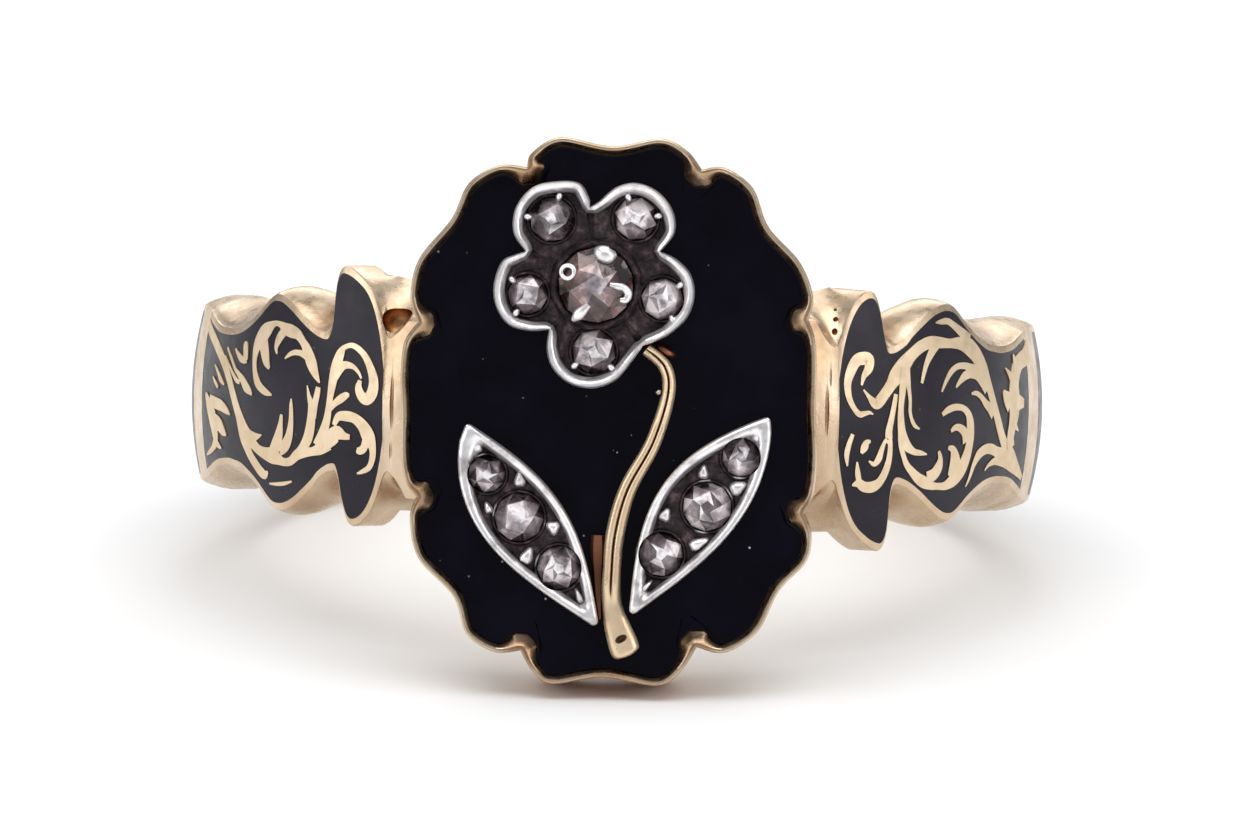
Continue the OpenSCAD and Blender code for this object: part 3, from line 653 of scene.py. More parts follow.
def make_face_enamel():
    """The black plate, with an edge that rounds up to the gold."""
    rings = [[(x, -(FACE_Y + h), z) for x, z in set_in(w, extra)] for w, extra, h in PLATE_ROWS]
    rings += [[(x * share, -FACE_Y, z * share) for x, z in EDGE] for share in PLATE_INNER_SHARES]
    plate = finish_shading(new_object("face_plate", *skin(rings)), 40)
    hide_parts("face_enamel")
    return plate


ENAMEL_COLUMNS = 16
# How far the enamel of the hoop stays inside its field and below the gold
ENAMEL_GAP = 0.004
# Degrees before the bar at which its last two sections lie
ENAMEL_STOP = (0.2, 0.05)


def sheet(name, angles, edge_of):
    """A closed sheet of enamel that follows the hoop between the edges of its field."""
    sections = []
    for angle in angles:
        low = ENAMEL_GAP - edge_of(angle, low_column(angle))
        top = edge_of(angle, top_column(angle)) - ENAMEL_GAP
        heights = [low + (top - low) * k / ENAMEL_COLUMNS for k in range(ENAMEL_COLUMNS + 1)]
        outer = [round_point(angle, outer_r(angle, z) - ENAMEL_GAP, z) for z in heights]
        inner = [round_point(angle, outer_r(angle, z) - HOOP_ENAMEL_T, z) for z in reversed(heights)]
        sections.append(outer + inner)
    return finish_shading(new_object(name, *skin(sections)), 40)


def make_shoulder_enamel(side, name, node):
    start = angle_of(WING_INNER_ALONG) + FIELD_START + FIT_GAP + STEP_EDGE
    angles = shoulder_angles(start, BAR_ANGLE - ENAMEL_STOP[0]) + [BAR_ANGLE - ENAMEL_STOP[1]]
    piece = sheet(name, [side * a for a in angles], enamel_edge)
    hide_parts(node)
    return piece


def back_enamel_edge(angle, column):
    return hoop_edge(angle, column) - BORDER_W


def make_back_enamel():
    start = BAR_END + STEP_EDGE * 2
    angles = [*np.arange(start, 360 - BAR_END, BACK_STEP), 360 - start]
    signed = [a if a <= 180 else a - 360 for a in angles]
    piece = sheet("hoop_back_enamel", signed, back_enamel_edge)
    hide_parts("back_enamel")
    return piece


# Scrolls of gold left flush in the shoulder enamel. Each stroke is a list of places on its middle line.
# Columns: angle from the face in degrees, height, width of the stroke
LEFT_SCROLLS = [
    [(75.5, 1.8, 0.2), (73, 1.58, 0.24), (70, 1.35, 0.26), (67, 1.05, 0.26), (65, 0.8, 0.26),
     (63.3, 0.5, 0.26), (62, 0.18, 0.26), (60.8, -0.15, 0.28), (59.4, -0.5, 0.32), (57.6, -0.8, 0.3),
     (55.8, -0.85, 0.2), (54.1, -0.8, 0.03)],
    [(60.2, -0.4, 0.2), (59, -0.85, 0.3), (58, -1.1, 0.3), (57.2, -1.3, 0.26), (56, -1.5, 0.26),
     (55, -1.65, 0.26), (54, -1.72, 0.22), (53.2, -1.65, 0.05)],
    [(58, -0.85, 0.2), (56.5, -1, 0.28), (55, -1.15, 0.25), (53.5, -1.23, 0.3), (52, -1.27, 0.38),
     (50.8, -1.32, 0.32), (49.5, -1.4, 0.2), (48, -1.38, 0.2), (46.5, -1.22, 0.25), (45, -1.15, 0.25),
     (43.5, -1.13, 0.2), (42, -1.05, 0.3), (40.6, -0.9, 0.4)],
    [(51.8, -1.2, 0.3), (50.8, -1, 0.35), (50.1, -0.75, 0.28), (49.7, -0.5, 0.16), (49.5, -0.3, 0.1)],
    [(50.2, -1.15, 0.25), (48.8, -1, 0.3), (47.9, -0.75, 0.24), (47.5, -0.4, 0.16), (47.5, -0.1, 0.12),
     (47.5, 0.08, 0.04)],
    [(46.5, -1.2, 0.2), (45.3, -1.05, 0.25), (44.2, -0.8, 0.3), (43.6, -0.45, 0.28), (43.5, -0.1, 0.22),
     (44, 0.15, 0.12), (44.4, 0.4, 0.03)],
    [(43.2, -0.35, 0.2), (42.9, -0.05, 0.2), (42.5, 0.2, 0.18), (42.3, 0.37, 0.15)],
    [(53.1, -1.93, 0.04), (51.5, -1.93, 0.08), (49.8, -1.91, 0.09), (48, -1.85, 0.04)],
    [(51.7, 0.14, 0.04), (53, 0.2, 0.16), (54.3, 0.3, 0.2), (55.3, 0.45, 0.22), (56, 0.72, 0.18),
     (56.2, 1, 0.2), (55.8, 1.3, 0.35), (54.6, 1.55, 0.45), (53.5, 1.68, 0.35), (52.2, 1.8, 0.15),
     (51, 1.79, 0.14), (49.8, 1.7, 0.26), (48.4, 1.64, 0.3), (47, 1.57, 0.24), (45.8, 1.4, 0.2),
     (44.8, 1.2, 0.28), (43.8, 0.92, 0.32), (42.9, 0.66, 0.2), (42.1, 0.47, 0.04)],
    [(54.6, 1.45, 0.35), (53.9, 1.15, 0.33), (53.3, 0.92, 0.25), (52.5, 0.75, 0.08)],
    [(50, 1.62, 0.25), (50.9, 1.45, 0.24), (51.3, 1.25, 0.14), (51, 1.1, 0.04)],
    [(44.8, 1.08, 0.2), (46, 1.14, 0.14), (47.3, 1.15, 0.13), (48.4, 1.09, 0.1), (49.2, 1, 0.04)],
    [(42.5, -1, 0.3), (41.4, -0.7, 0.28), (40.6, -0.35, 0.22), (40.2, 0.05, 0.18), (39.8, 0.45, 0.24),
     (39.3, 0.85, 0.3), (38.7, 1.15, 0.25), (38.1, 1.32, 0.12)],
    [(38.2, 1.3, 0.12), (37, 1.36, 0.12), (35.8, 1.3, 0.14), (34.5, 1.12, 0.16), (33.5, 0.85, 0.2),
     (32.9, 0.55, 0.26), (33.1, 0.27, 0.3), (33.9, 0.13, 0.28), (34.8, 0.2, 0.24), (35.3, 0.38, 0.2),
     (35.1, 0.56, 0.1)],
    [(39.6, 0.55, 0.2), (38.6, 0.82, 0.25), (37.6, 0.9, 0.18), (36.4, 0.87, 0.12), (35.4, 0.74, 0.08),
     (34.9, 0.6, 0.05)],
    [(40.3, -0.15, 0.15), (39.3, 0, 0.16), (38.2, 0.12, 0.2), (37.3, 0.2, 0.16), (36.8, 0.2, 0.06)],
    [(41.5, -0.95, 0.35), (40, -0.8, 0.4), (38.8, -0.68, 0.35), (37.6, -0.74, 0.18), (36.7, -0.76, 0.12)],
    [(39.4, -0.5, 0.12), (38.6, -0.3, 0.2), (37.2, -0.28, 0.24), (35.8, -0.33, 0.24), (34.5, -0.5, 0.3),
     (33.6, -0.75, 0.36), (33, -1, 0.2), (33.1, -1.25, 0.16), (33.7, -1.45, 0.14), (34.8, -1.55, 0.1),
     (35.7, -1.6, 0.04)],
    [(34, -0.8, 0.2), (34.4, -1, 0.2), (35.1, -1.07, 0.18), (35.6, -1.05, 0.12)],
    [(64.5, 1.2, 0.05), (62.8, 0.95, 0.08), (61.3, 0.7, 0.1), (60.3, 0.6, 0.14), (59, 0.45, 0.2),
     (58, 0.3, 0.24), (57, 0.2, 0.16), (56.4, 0.12, 0.04)],
    [(65, 1, 0.05), (63.5, 0.8, 0.08), (62, 0.6, 0.1), (60.8, 0.45, 0.12), (59.8, 0.4, 0.1)],
    [(61.8, 1.18, 0.05), (60.8, 1.05, 0.12), (59.8, 0.95, 0.16), (58.8, 0.9, 0.12), (58.2, 0.88, 0.05)],
    [(58.6, 0.92, 0.2), (58.7, 1.1, 0.22), (59, 1.3, 0.18), (59.1, 1.36, 0.06)],
    [(71.9, 0.1, 0.1), (70.6, -0.15, 0.35), (69.2, -0.4, 0.5), (68.3, -0.7, 0.45), (68.2, -1, 0.3),
     (69.5, -1.18, 0.16), (71, -1.27, 0.12), (72.8, -1.36, 0.04)],
    [(70, -0.05, 0.25), (67.5, -0.12, 0.28), (65.5, -0.17, 0.26), (63.8, -0.27, 0.18), (62.6, -0.37, 0.04)],
    [(68.5, -0.55, 0.4), (66.6, -0.6, 0.35), (65.2, -0.75, 0.26), (64.1, -0.86, 0.06)],
    [(68.2, -1, 0.25), (67.2, -1.1, 0.16), (66.1, -1.17, 0.05)],
    [(68.5, 0.78, 0.04), (67, 0.6, 0.1), (66, 0.45, 0.14), (64.6, 0.32, 0.04)],
    [(69, 0.5, 0.04), (68, 0.38, 0.1), (66.8, 0.25, 0.08)],
]
RIGHT_SCROLLS = [
    [(34.9, 0.65, 0.05), (35.3, 0.86, 0.14), (36.1, 1.05, 0.24), (36.2, 1.25, 0.28), (35.2, 1.27, 0.3),
     (34.2, 1.22, 0.28), (33.3, 1, 0.26), (32.7, 0.7, 0.2), (32.9, 0.38, 0.16), (33.7, 0.12, 0.13),
     (34.6, -0.02, 0.14), (35.4, 0, 0.12), (36.2, 0.02, 0.08), (36.8, -0.02, 0.03)],
    [(35.2, 0.55, 0.04), (36, 0.4, 0.1), (36.9, 0.25, 0.22), (37.6, 0.25, 0.28), (38.7, 0.45, 0.28),
     (39.7, 0.65, 0.3), (40.6, 0.85, 0.4), (42, 1.1, 0.4), (43.6, 1.35, 0.3), (45.5, 1.55, 0.28),
     (47.5, 1.65, 0.28), (49.5, 1.64, 0.26), (51.5, 1.62, 0.22), (53.5, 1.62, 0.3), (55.5, 1.55, 0.45),
     (57.3, 1.35, 0.45), (58.8, 1.05, 0.4), (59.8, 0.75, 0.3), (60.7, 0.45, 0.28), (61.8, 0.1, 0.28),
     (63, -0.25, 0.3), (64.4, -0.6, 0.3), (66, -0.85, 0.35), (68, -1.05, 0.4), (70, -1.25, 0.3),
     (72, -1.4, 0.16), (74, -1.55, 0.04)],
    [(48.8, 2.1, 0.03), (50, 2.12, 0.12), (51.5, 2.13, 0.16), (53, 2, 0.2), (54.5, 1.85, 0.26),
     (56, 1.7, 0.3)],
    [(45.3, 0.7, 0.08), (45.8, 0.95, 0.12), (46.5, 1.2, 0.16), (47.6, 1.45, 0.22), (48.6, 1.62, 0.26)],
    [(49.2, 0.5, 0.05), (50, 0.72, 0.1), (51.2, 0.95, 0.14), (52.6, 1.08, 0.14), (54.2, 1.1, 0.16),
     (55.8, 1.05, 0.2), (57.4, 0.98, 0.3), (58.6, 0.85, 0.35)],
    [(52.2, 0.6, 0.05), (53, 0.72, 0.12), (54.2, 0.86, 0.2), (55.6, 0.92, 0.22), (57.2, 0.88, 0.25),
     (58.4, 0.72, 0.25), (59.5, 0.5, 0.2)],
    [(55.7, 0.45, 0.05), (56.8, 0.46, 0.12), (58, 0.38, 0.14), (59.2, 0.22, 0.2), (60.4, 0.1, 0.25),
     (61.4, -0.05, 0.28)],
    [(40.6, 0.45, 0.12), (40.3, 0.2, 0.14), (39.9, -0.1, 0.16), (39.5, -0.4, 0.2), (39.5, -0.6, 0.2),
     (38.9, -0.65, 0.1), (38.4, -0.85, 0.14), (38, -1.05, 0.18), (37.3, -1.17, 0.12), (36.4, -1.1, 0.04)],
    [(39.5, -0.6, 0.2), (39.8, -0.7, 0.14), (39.8, -1, 0.16), (39.4, -1.3, 0.2), (38.5, -1.58, 0.22),
     (37.3, -1.7, 0.26), (36, -1.7, 0.24), (35, -1.62, 0.2), (34, -1.66, 0.05)],
    [(35, -1.55, 0.15), (34.7, -1.35, 0.14), (34.5, -1.12, 0.04)],
    [(35.1, -0.92, 0.08), (35.5, -0.8, 0.2), (35.9, -0.68, 0.16), (36.5, -0.64, 0.05)],
    [(33.6, -0.48, 0.1), (33.1, -0.7, 0.13), (32.8, -0.95, 0.14), (33, -1.22, 0.04)],
    [(42.3, 1.05, 0.24), (41.9, 0.7, 0.22), (41.5, 0.2, 0.17), (41.5, -0.15, 0.2), (41.8, -0.45, 0.24),
     (42.6, -0.72, 0.26),
     (44, -0.88, 0.16), (45.4, -0.92, 0.12), (46.6, -0.95, 0.03)],
    [(42.6, 1.05, 0.2), (42.8, 0.7, 0.14), (43.1, 0.3, 0.1), (43.1, 0.05, 0.1), (43.4, -0.13, 0.1),
     (44, -0.28, 0.1),
     (44.9, -0.36, 0.04)],
    [(41.3, -0.3, 0.1), (41.6, -0.7, 0.14), (42.3, -1, 0.14), (43, -1.2, 0.16), (44, -1.35, 0.2),
     (45.2, -1.5, 0.25), (46.5, -1.6, 0.28), (48, -1.68, 0.2), (49.5, -1.7, 0.16), (51, -1.68, 0.22),
     (52.5, -1.55, 0.35), (53.8, -1.35, 0.4), (54.8, -1.1, 0.35), (55.4, -0.8, 0.3), (55.6, -0.5, 0.3),
     (55.4, -0.2, 0.28), (54.8, 0, 0.2), (53.6, 0.12, 0.15), (52, 0.14, 0.16), (50.5, 0.08, 0.16),
     (49.3, -0.03, 0.1)],
    [(51.2, -0.42, 0.08), (52, -0.34, 0.14), (53, -0.34, 0.18), (54.2, -0.45, 0.25), (54.9, -0.65, 0.35)],
    [(50.8, -0.8, 0.08), (51.8, -0.85, 0.2), (52.4, -1.05, 0.35), (52.6, -1.3, 0.45), (52.3, -1.5, 0.4)],
    [(48.9, -0.88, 0.08), (49.3, -1.05, 0.16), (49.1, -1.25, 0.28), (48.3, -1.42, 0.3), (47, -1.5, 0.3)],
    [(55.6, -1.72, 0.04), (56.3, -1.5, 0.1), (57, -1.2, 0.16), (58, -0.98, 0.24), (59.5, -0.86, 0.24),
     (61.2, -0.85, 0.25), (63, -0.93, 0.26), (65, -1, 0.35), (67, -1.1, 0.4)],
    [(60, -1.35, 0.04), (61, -1.22, 0.1), (62.5, -1.14, 0.18), (64, -1.14, 0.22), (66, -1.2, 0.22),
     (68.5, -1.32, 0.2), (71, -1.45, 0.14), (73.5, -1.6, 0.05)],
    [(76, 1.45, 0.5), (73.5, 1.28, 0.42), (71, 1.18, 0.4), (69.3, 1, 0.5), (68.2, 0.7, 0.55),
     (68, 0.3, 0.7), (68, 0, 0.6), (67.5, -0.3, 0.45), (67, -0.6, 0.4), (67.5, -0.85, 0.4)],
    [(65.3, 1.03, 0.04), (66.3, 0.92, 0.14), (67.5, 0.75, 0.3)],
    [(64.3, 0.5, 0.1), (65.2, 0.35, 0.35), (66.5, 0.2, 0.5)],
    [(71.8, 0.2, 0.2), (70, 0.22, 0.35), (68.5, 0.2, 0.4)],
    [(69.8, -0.45, 0.05), (68.8, -0.35, 0.14), (67.8, -0.2, 0.25)],
    [(68.4, 1.35, 0.06), (68.9, 1.15, 0.3), (69.4, 0.95, 0.4)],
]
SCROLL_STEPS = 6
# How far the scrolls stand proud, how deep they reach, and their least width
SCROLL_PROUD = 0.014
SCROLL_DEPTH = 0.10
SCROLL_LEAST = 0.015
# The strokes lie a little above one another while they are fused, so that no two faces coincide
STROKE_LIFT = 0.0004
# Where the fused strokes are cut into bands: angles from the face, and heights
BAND_ANGLES = range(30, 76, 2)
BAND_HEIGHTS = (-1.6, -1.1, -0.5, 0, 0.5, 1.1, 1.6)


def flat_stroke(places, lift):
    """A stroke as a flat prism: x along the shoulder in millimetres, y its height, z its depth."""
    p = curve([(math.radians(a) * HOOP_R, z, w) for a, z, w in places], SCROLL_STEPS)
    line, width = p[:, :2], np.maximum(p[:, 2], SCROLL_LEAST)
    across = sideways(line) * width[:, None] / 2
    low, high = lift, SCROLL_DEPTH + lift
    sides = zip(line + across, line - across)
    return skin([[(*a, low), (*a, high), (*b, high), (*b, low)] for a, b in sides])


def make_scrolls(strokes, side, name):
    """The strokes fused while flat, cut into narrow bands and then laid round the hoop."""
    flats = [
        new_object(name, *flat_stroke(places, STROKE_LIFT * k), placing=Matrix())
        for k, places in enumerate(strokes)
    ]
    body = flats[0]
    apply_boolean(body, flats[1:], "UNION")
    bm = bmesh.new()
    bm.from_mesh(body.data)
    cuts = [((math.radians(angle) * HOOP_R, 0, 0), (1, 0, 0)) for angle in BAND_ANGLES]
    cuts += [((0, height, 0), (0, 1, 0)) for height in BAND_HEIGHTS]
    for place, normal in cuts:
        geometry = bm.verts[:] + bm.edges[:] + bm.faces[:]
        bmesh.ops.bisect_plane(bm, geom=geometry, plane_co=place, plane_no=normal)
    for v in bm.verts:
        angle = side * math.degrees(v.co.x / HOOP_R)
        r = outer_r(angle, v.co.y) + v.co.z - SCROLL_DEPTH + SCROLL_PROUD
        v.co = Vector(round_point(angle, r, v.co.y))
    bmesh.ops.recalc_face_normals(bm, faces=bm.faces)
    bm.to_mesh(body.data)
    bm.free()
    body.data.transform(RING)
    return finish_shading(body, 30)


# The spray


def petal_reach(k):
    return COLLAR_R + PETALS[k][1] * PETAL_R + PETAL_STONE_D / 2 * PETALS[k][2]


FLOWER_REACH = petal_reach(0) + PETAL_R


def petal_stone_r(k):
    return PETAL_STONE_D / 2 * PETALS[k][2] * STONE_SPREAD


def petal_at(k):
    a = math.radians(PETALS[k][0])
    return FLOWER_AT + petal_reach(k) * np.array((math.sin(a), math.cos(a)))


def lathe(centre, rows, segments=48):
    """A round solid standing on the face. Rows: radius, height."""
    x, y = centre
    turns = [2 * math.pi * i / segments for i in range(segments)]
    return face_skin([[(x + r * math.cos(a), y + r * math.sin(a), h) for a in turns] for r, h in rows])


# Reach of a seat's ring past its stone: at the foot, at the hollow, at the top and over the stone
SEAT_RING = (0.09, 0.08, 0.04, -0.02)
SEAT_DOMED = 0.01
# Room round a small stone and round the middle one
SEAT_ROOM = 0.01
CENTRE_ROOM = 0.012


def seat_ring(centre, r, base, rise):
    """The low ring of silver round a small stone of radius r."""
    foot, low, top, lip = (r + reach for reach in SEAT_RING)
    rows = [(foot, base), (low, HOLLOW_Z), (top, HOLLOW_Z + rise), (lip, HOLLOW_Z + rise + SEAT_DOMED)]
    return lathe(centre, rows)


def seat_hole(centre, r, high, low=SEAT_Z - 0.01):
    """The hole that a stone sits in, cut down to a height."""
    return lathe(centre, [(r, low), (r, high)])


def swept(line, widths, profile):
    """A ridge along a line on the face. Profile rows: place across as a share of the half width, height."""
    return face_skin([
        [(*(p + side * w / 2 * q), h) for q, h in profile] for p, side, w in zip(line, sideways(line), widths)
    ])


PETAL_STEPS = 7
# Width of the rims round the petals, which thin out in the notches, and a slight waver along them
PETAL_RIM_W = 0.25
NOTCH_THIN = 0.45
RIM_WAVER = 0.02
# Section of those rims: share of the way across, height
PETAL_RIM = [
    (0.10, 0.0), (0.0, 0.05), (0.0, 0.66), (0.06, 0.73), (0.18, 0.775), (0.50, 0.765), (0.72, 0.72),
    (0.80, 0.66), (0.90, 0.63), (1.0, 0.60), (1.06, 0.52), (1.14, HOLLOW_Z),
]
# Section of the collar round the middle stone: radius, height
COLLAR = [
    (COLLAR_R + 0.10, 0.1), (COLLAR_R + 0.06, 0.5), (COLLAR_R, 0.66), (COLLAR_R - 0.06, COLLAR_Z - 0.17),
    (COLLAR_R - 0.10, COLLAR_Z - 0.18), (CENTRE_STONE_D / 2 + 0.01, COLLAR_Z - 0.22),
    (CENTRE_STONE_D / 2, 0.5),
]
CREVICE_RADII = (0.10, 0.07, 0.05)


def flower_edges():
    """The flower's outer edge, and the inner edge of its rim, as matching points on the face."""
    lines = lobed(FLOWER_LOBES, PETAL_STEPS)
    outer = np.concatenate(lines) * FLOWER_REACH
    thin = np.array([math.sin(math.pi * k / len(line)) ** 0.5 for line in lines for k in range(len(line))])
    width = PETAL_RIM_W * (1 - NOTCH_THIN * (1 - thin))
    return outer + FLOWER_AT, outer + FLOWER_AT - sideways(outer, closed=True) * width[:, None]


def flower_ring(share, height):
    """The flower's outline drawn in by a share of its rim, at a height."""
    ring = []
    for k, (a, b) in enumerate(zip(*flower_edges())):
        waver = RIM_WAVER * (math.sin(k * 0.31) + math.sin(k * 0.17 + 1)) * min(share, 1)
        ring.append((*(a + (b - a) * (share + waver)), height + waver))
    return ring


def crevice(lobe):
    """The gap between two petals, from their notch in to the collar."""
    notch = np.array(lobe[0]) * FLOWER_REACH
    far = np.linalg.norm(notch)
    reaches = (far - 0.12, (far + COLLAR_R) / 2, COLLAR_R + 0.08)
    return tube([(*(FLOWER_AT + notch * r / far), HOLLOW_Z + 0.03) for r in reaches], CREVICE_RADII)


def make_flower():
    """The silver flower: one outline of petals with raised rims, a tarnished hollow, a collar and prongs."""
    flower = new_object("flower_silver", *face_skin([flower_ring(*row) for row in PETAL_RIM]))
    petals = [(petal_at(k), petal_stone_r(k)) for k in range(len(PETALS))]
    combine(flower, [seat_ring(*petal, 0.2, 0.08) for petal in petals] + [lathe(FLOWER_AT, COLLAR)], "UNION")
    sunk = [seat_hole(centre, r + SEAT_ROOM, 1.4) for centre, r in petals]
    sunk.append(seat_hole(FLOWER_AT, CENTRE_STONE_D / 2 + CENTRE_ROOM, 1.6, COLLAR_Z - 0.3))
    combine(flower, sunk + [crevice(lobe) for lobe in FLOWER_LOBES], "DIFFERENCE")
    combine(flower, flower_claws(), "UNION")
    finish_shading(flower, 40)
    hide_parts("flower_setting")
    return flower


# Prongs over the middle stone: lines of places and heights from the middle of the flower, and their radii
PRONGS = [
    ([(0.02, 0.80, 0.92), (0.12, 0.74, 1.04), (0.26, 0.68, 1.08), (0.42, 0.70, 1.00)],
     (0.10, 0.19, 0.20, 0.09)),
    ([(0.32, 0.02, 1.22), (0.50, -0.02, 1.17), (0.64, -0.05, 1.10), (0.74, -0.18, 1.02),
      (0.68, -0.32, 1.03), (0.55, -0.32, 1.10)],
     (0.05, 0.08, 0.09, 0.10, 0.09, 0.05)),
    ([(-0.14, -0.44, 1.18), (-0.26, -0.56, 1.12), (-0.38, -0.68, 1.03), (-0.50, -0.80, 0.92)],
     (0.06, 0.11, 0.13, 0.06)),
]
# The prong that is worn to a ring: its place, radius, thickness and height, its tilt and its sections
RING_PRONG = ((-0.64, 0.29), 0.15, 0.055, 1.02)
RING_TILT = 0.10
RING_STEPS = 24
# Grains beside the petal stones: degrees round the stone, half sizes, height over the hollow, rise
PETAL_GRAIN_TURNS = (-52, 50)
PETAL_GRAIN = (0.10, 0.075, 0.16, 0.12)


def tube(line, radii, sides=12, closed=False):
    """A round bar through places on the face, or a closed ring."""
    ahead = heading(line, closed)
    side = np.cross(ahead, (0, 0, 1.0))
    side /= np.linalg.norm(side, axis=1)[:, None]
    other = np.cross(side, ahead)
    turns = [2 * math.pi * k / sides for k in range(sides)]
    return face_skin([
        [np.asarray(p) + r * (a * math.cos(t) + b * math.sin(t)) for t in turns]
        for p, a, b, r in zip(line, side, other, radii)
    ], closed)


def flower_claws():
    """Prongs that lap over the middle stone, and small grains beside the petal stones."""
    out = []
    for places, radii in PRONGS:
        bar = curve([(*p, r) for p, r in zip(places, radii)], 5)
        out.append(tube(bar[:, :3] + (*FLOWER_AT, 0), bar[:, 3]))
    (x, y), reach, thick, height = RING_PRONG
    x, y = FLOWER_AT + (x, y)
    turns = [2 * math.pi * k / RING_STEPS for k in range(RING_STEPS)]
    around = [(math.cos(t), math.sin(t)) for t in turns]
    ring = [(x + reach * c, y + reach * s, height + RING_TILT * c) for c, s in around]
    out.append(tube(ring, [thick] * RING_STEPS, closed=True))
    a, b, over, rise = PETAL_GRAIN
    out += [grain(centre, a, b, turn, HOLLOW_Z + over, rise) for centre, turn in petal_grains()]
    return out


def petal_grains():
    """Places and turns of the grains beside the petal stones."""
    out = []
    for k, (angle, _, _) in enumerate(PETALS):
        for offset in PETAL_GRAIN_TURNS:
            turn = 90 - angle + offset
            a = math.radians(turn + 180)
            out.append((petal_at(k) - (petal_stone_r(k) + 0.02) * np.array((math.cos(a), math.sin(a))), turn))
    return out


def grain(centre, a, b, turn, height, rise, corners=0.0):
    """A small ellipsoid of metal on the face, turned about its normal, and drawn out to three corners."""
    points, faces = ball((0, 0, 0), (a, b, rise), 18, 10)
    drawn = [1 + corners * math.cos(3 * math.atan2(y / b, x / a)) for x, y, z in points]
    points = [(x * q, y * q, z) for (x, y, z), q in zip(points, drawn)]
    cos, sin = math.cos(math.radians(turn)), math.sin(math.radians(turn))
    left, low = centre
    moved = [(left + x * cos - y * sin, low + x * sin + y * cos, height + z) for x, y, z in points]
    return on_face(moved), faces


def leaf_place(k, x, y):
    t = math.radians(-LEAVES[k][1])
    turn = np.array([[math.cos(t), -math.sin(t)], [math.sin(t), math.cos(t)]])
    return np.array(LEAVES[k][0]) * SPRAY_H + turn @ np.array((x, y))


def leaf_spot(k, along, across):
    """A place in a leaf, along from its tip and across as a share of its length."""
    return leaf_place(k, LEAF_LEN * across, LEAF_LEN * (1 - along))


def leaf_stones(k):
    """Centres and radii of a leaf's stones."""
    return [
        (leaf_spot(k, along, across), LEAF_STONE_D / 2 * share * STONE_SPREAD)
        for along, across, share in LEAF_STONES[k]
    ]


LEAF_STEPS = 30
POINT_INSET = 2.6
# Rounding of a leaf's ends, and how much longer the leaf's arcs are made for it
TIP_R = 0.10
TIP_LONGER = 0.26
TIP_STEPS = 5
# Section of a leaf's rim: width in from its outer edge, height
LEAF_RIM = [
    (0.02, 0.0), (0.0, 0.04), (0.0, 0.68), (0.025, 0.75), (0.06, SETTING_T), (0.13, SETTING_T - 0.01),
    (0.17, 0.73), (0.19, 0.67), (0.21, 0.62), (0.23, 0.56), (0.245, HOLLOW_Z),
]


def leaf_edge(k, inset=0.0):
    """Outline of a leaf, from the tip down the right side and back up the left, with rounded ends."""
    _, _, left, left_full, right, right_full = LEAVES[k]
    w = inset + TIP_R
    length = LEAF_LEN + TIP_LONGER - 2 * POINT_INSET * w
    arcs = []
    for bow, full, order in ((LEAF_LEN * right - w, right_full, 1), (w - LEAF_LEN * left, left_full, -1)):
        shares = [i / LEAF_STEPS for i in range(LEAF_STEPS + 1)][::order]
        arc = [(bow * math.sin(math.pi * t ** full), LEAF_LEN / 2 + length * (0.5 - t)) for t in shares]
        arcs.append((np.array(arc), sideways(arc)))
    out = []
    for (arc, normal), (_, after) in zip(arcs, arcs[::-1]):
        out += list(arc + normal * TIP_R)
        a, b = (math.atan2(n[1], n[0]) for n in (normal[-1], after[0]))
        b -= 2 * math.pi * round((b - a) / (2 * math.pi))
        turns = [a + (b - a) * i / TIP_STEPS for i in range(1, TIP_STEPS)]
        out += [arc[-1] + TIP_R * np.array((math.cos(t), math.sin(t))) for t in turns]
    return [leaf_place(k, x, y) for x, y in out]


# Bright grains between the leaf stones: along from the tip, across as a share of the leaf, half sizes, turn
LEAF_GRAINS = [
    [(0.10, -0.008, 0.17, 0.07, 80), (0.318, 0.062, 0.15, 0.10, 60), (0.345, -0.112, 0.12, 0.07, 80),
     (0.56, 0.072, 0.13, 0.13, 0), (0.60, -0.085, 0.17, 0.11, 30), (0.86, 0.005, 0.16, 0.06, 80)],
    [(0.09, 0.004, 0.16, 0.06, 95), (0.345, -0.092, 0.14, 0.09, 120), (0.315, 0.062, 0.17, 0.12, 60),
     (0.583, -0.118, 0.14, 0.10, 100), (0.60, 0.062, 0.20, 0.10, 60), (0.87, -0.012, 0.15, 0.05, 80)],
]
# How much longer and wider the grains are made than those half sizes, and how far they are drawn to corners
GRAIN_STRETCH = (1.2, 1.3)
GRAIN_CORNERS = 0.15


def make_leaf(k, name, node):
    """A silver leaf: a raised rim round a tarnished hollow, with a low ring round each stone."""
    leaf = new_object(name, *face_skin([[(*p, h) for p in leaf_edge(k, inset)] for inset, h in LEAF_RIM]))
    stones = leaf_stones(k)
    combine(leaf, [seat_ring(*stone, 0.3, 0.07) for stone in stones], "UNION")
    combine(leaf, [seat_hole(centre, r + SEAT_ROOM, 1.2) for centre, r in stones], "DIFFERENCE")
    long, wide = GRAIN_STRETCH
    combine(leaf, [
        grain(leaf_spot(k, along, across), a * long, b * wide, turn - LEAVES[k][1], HOLLOW_Z + 0.10, 0.18,
              GRAIN_CORNERS)
        for along, across, a, b, turn in LEAF_GRAINS[k]
    ], "UNION")
    finish_shading(leaf, 40)
    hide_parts(node)
    return leaf


# A rose cut stone: its height as a share of its width, its play at the girdle, and its rings of corners.
# Columns: the stone's sides over those of the ring, share of the radius, share of the height, waver
STONE_RISE = 0.4
STONE_PLAY = 0.004
STONE_RINGS = [(1, 1.0, 0.0, 0.0), (1, 1.0, 0.26, 0.0), (2, 0.66, 0.76, 0.09), (2, 0.26, 1.0, 0.08)]
# How much a corner wavers round the stone and in height, as multiples of its waver outwards
WAVER_ROUND = 2
WAVER_HEIGHT = 0.6
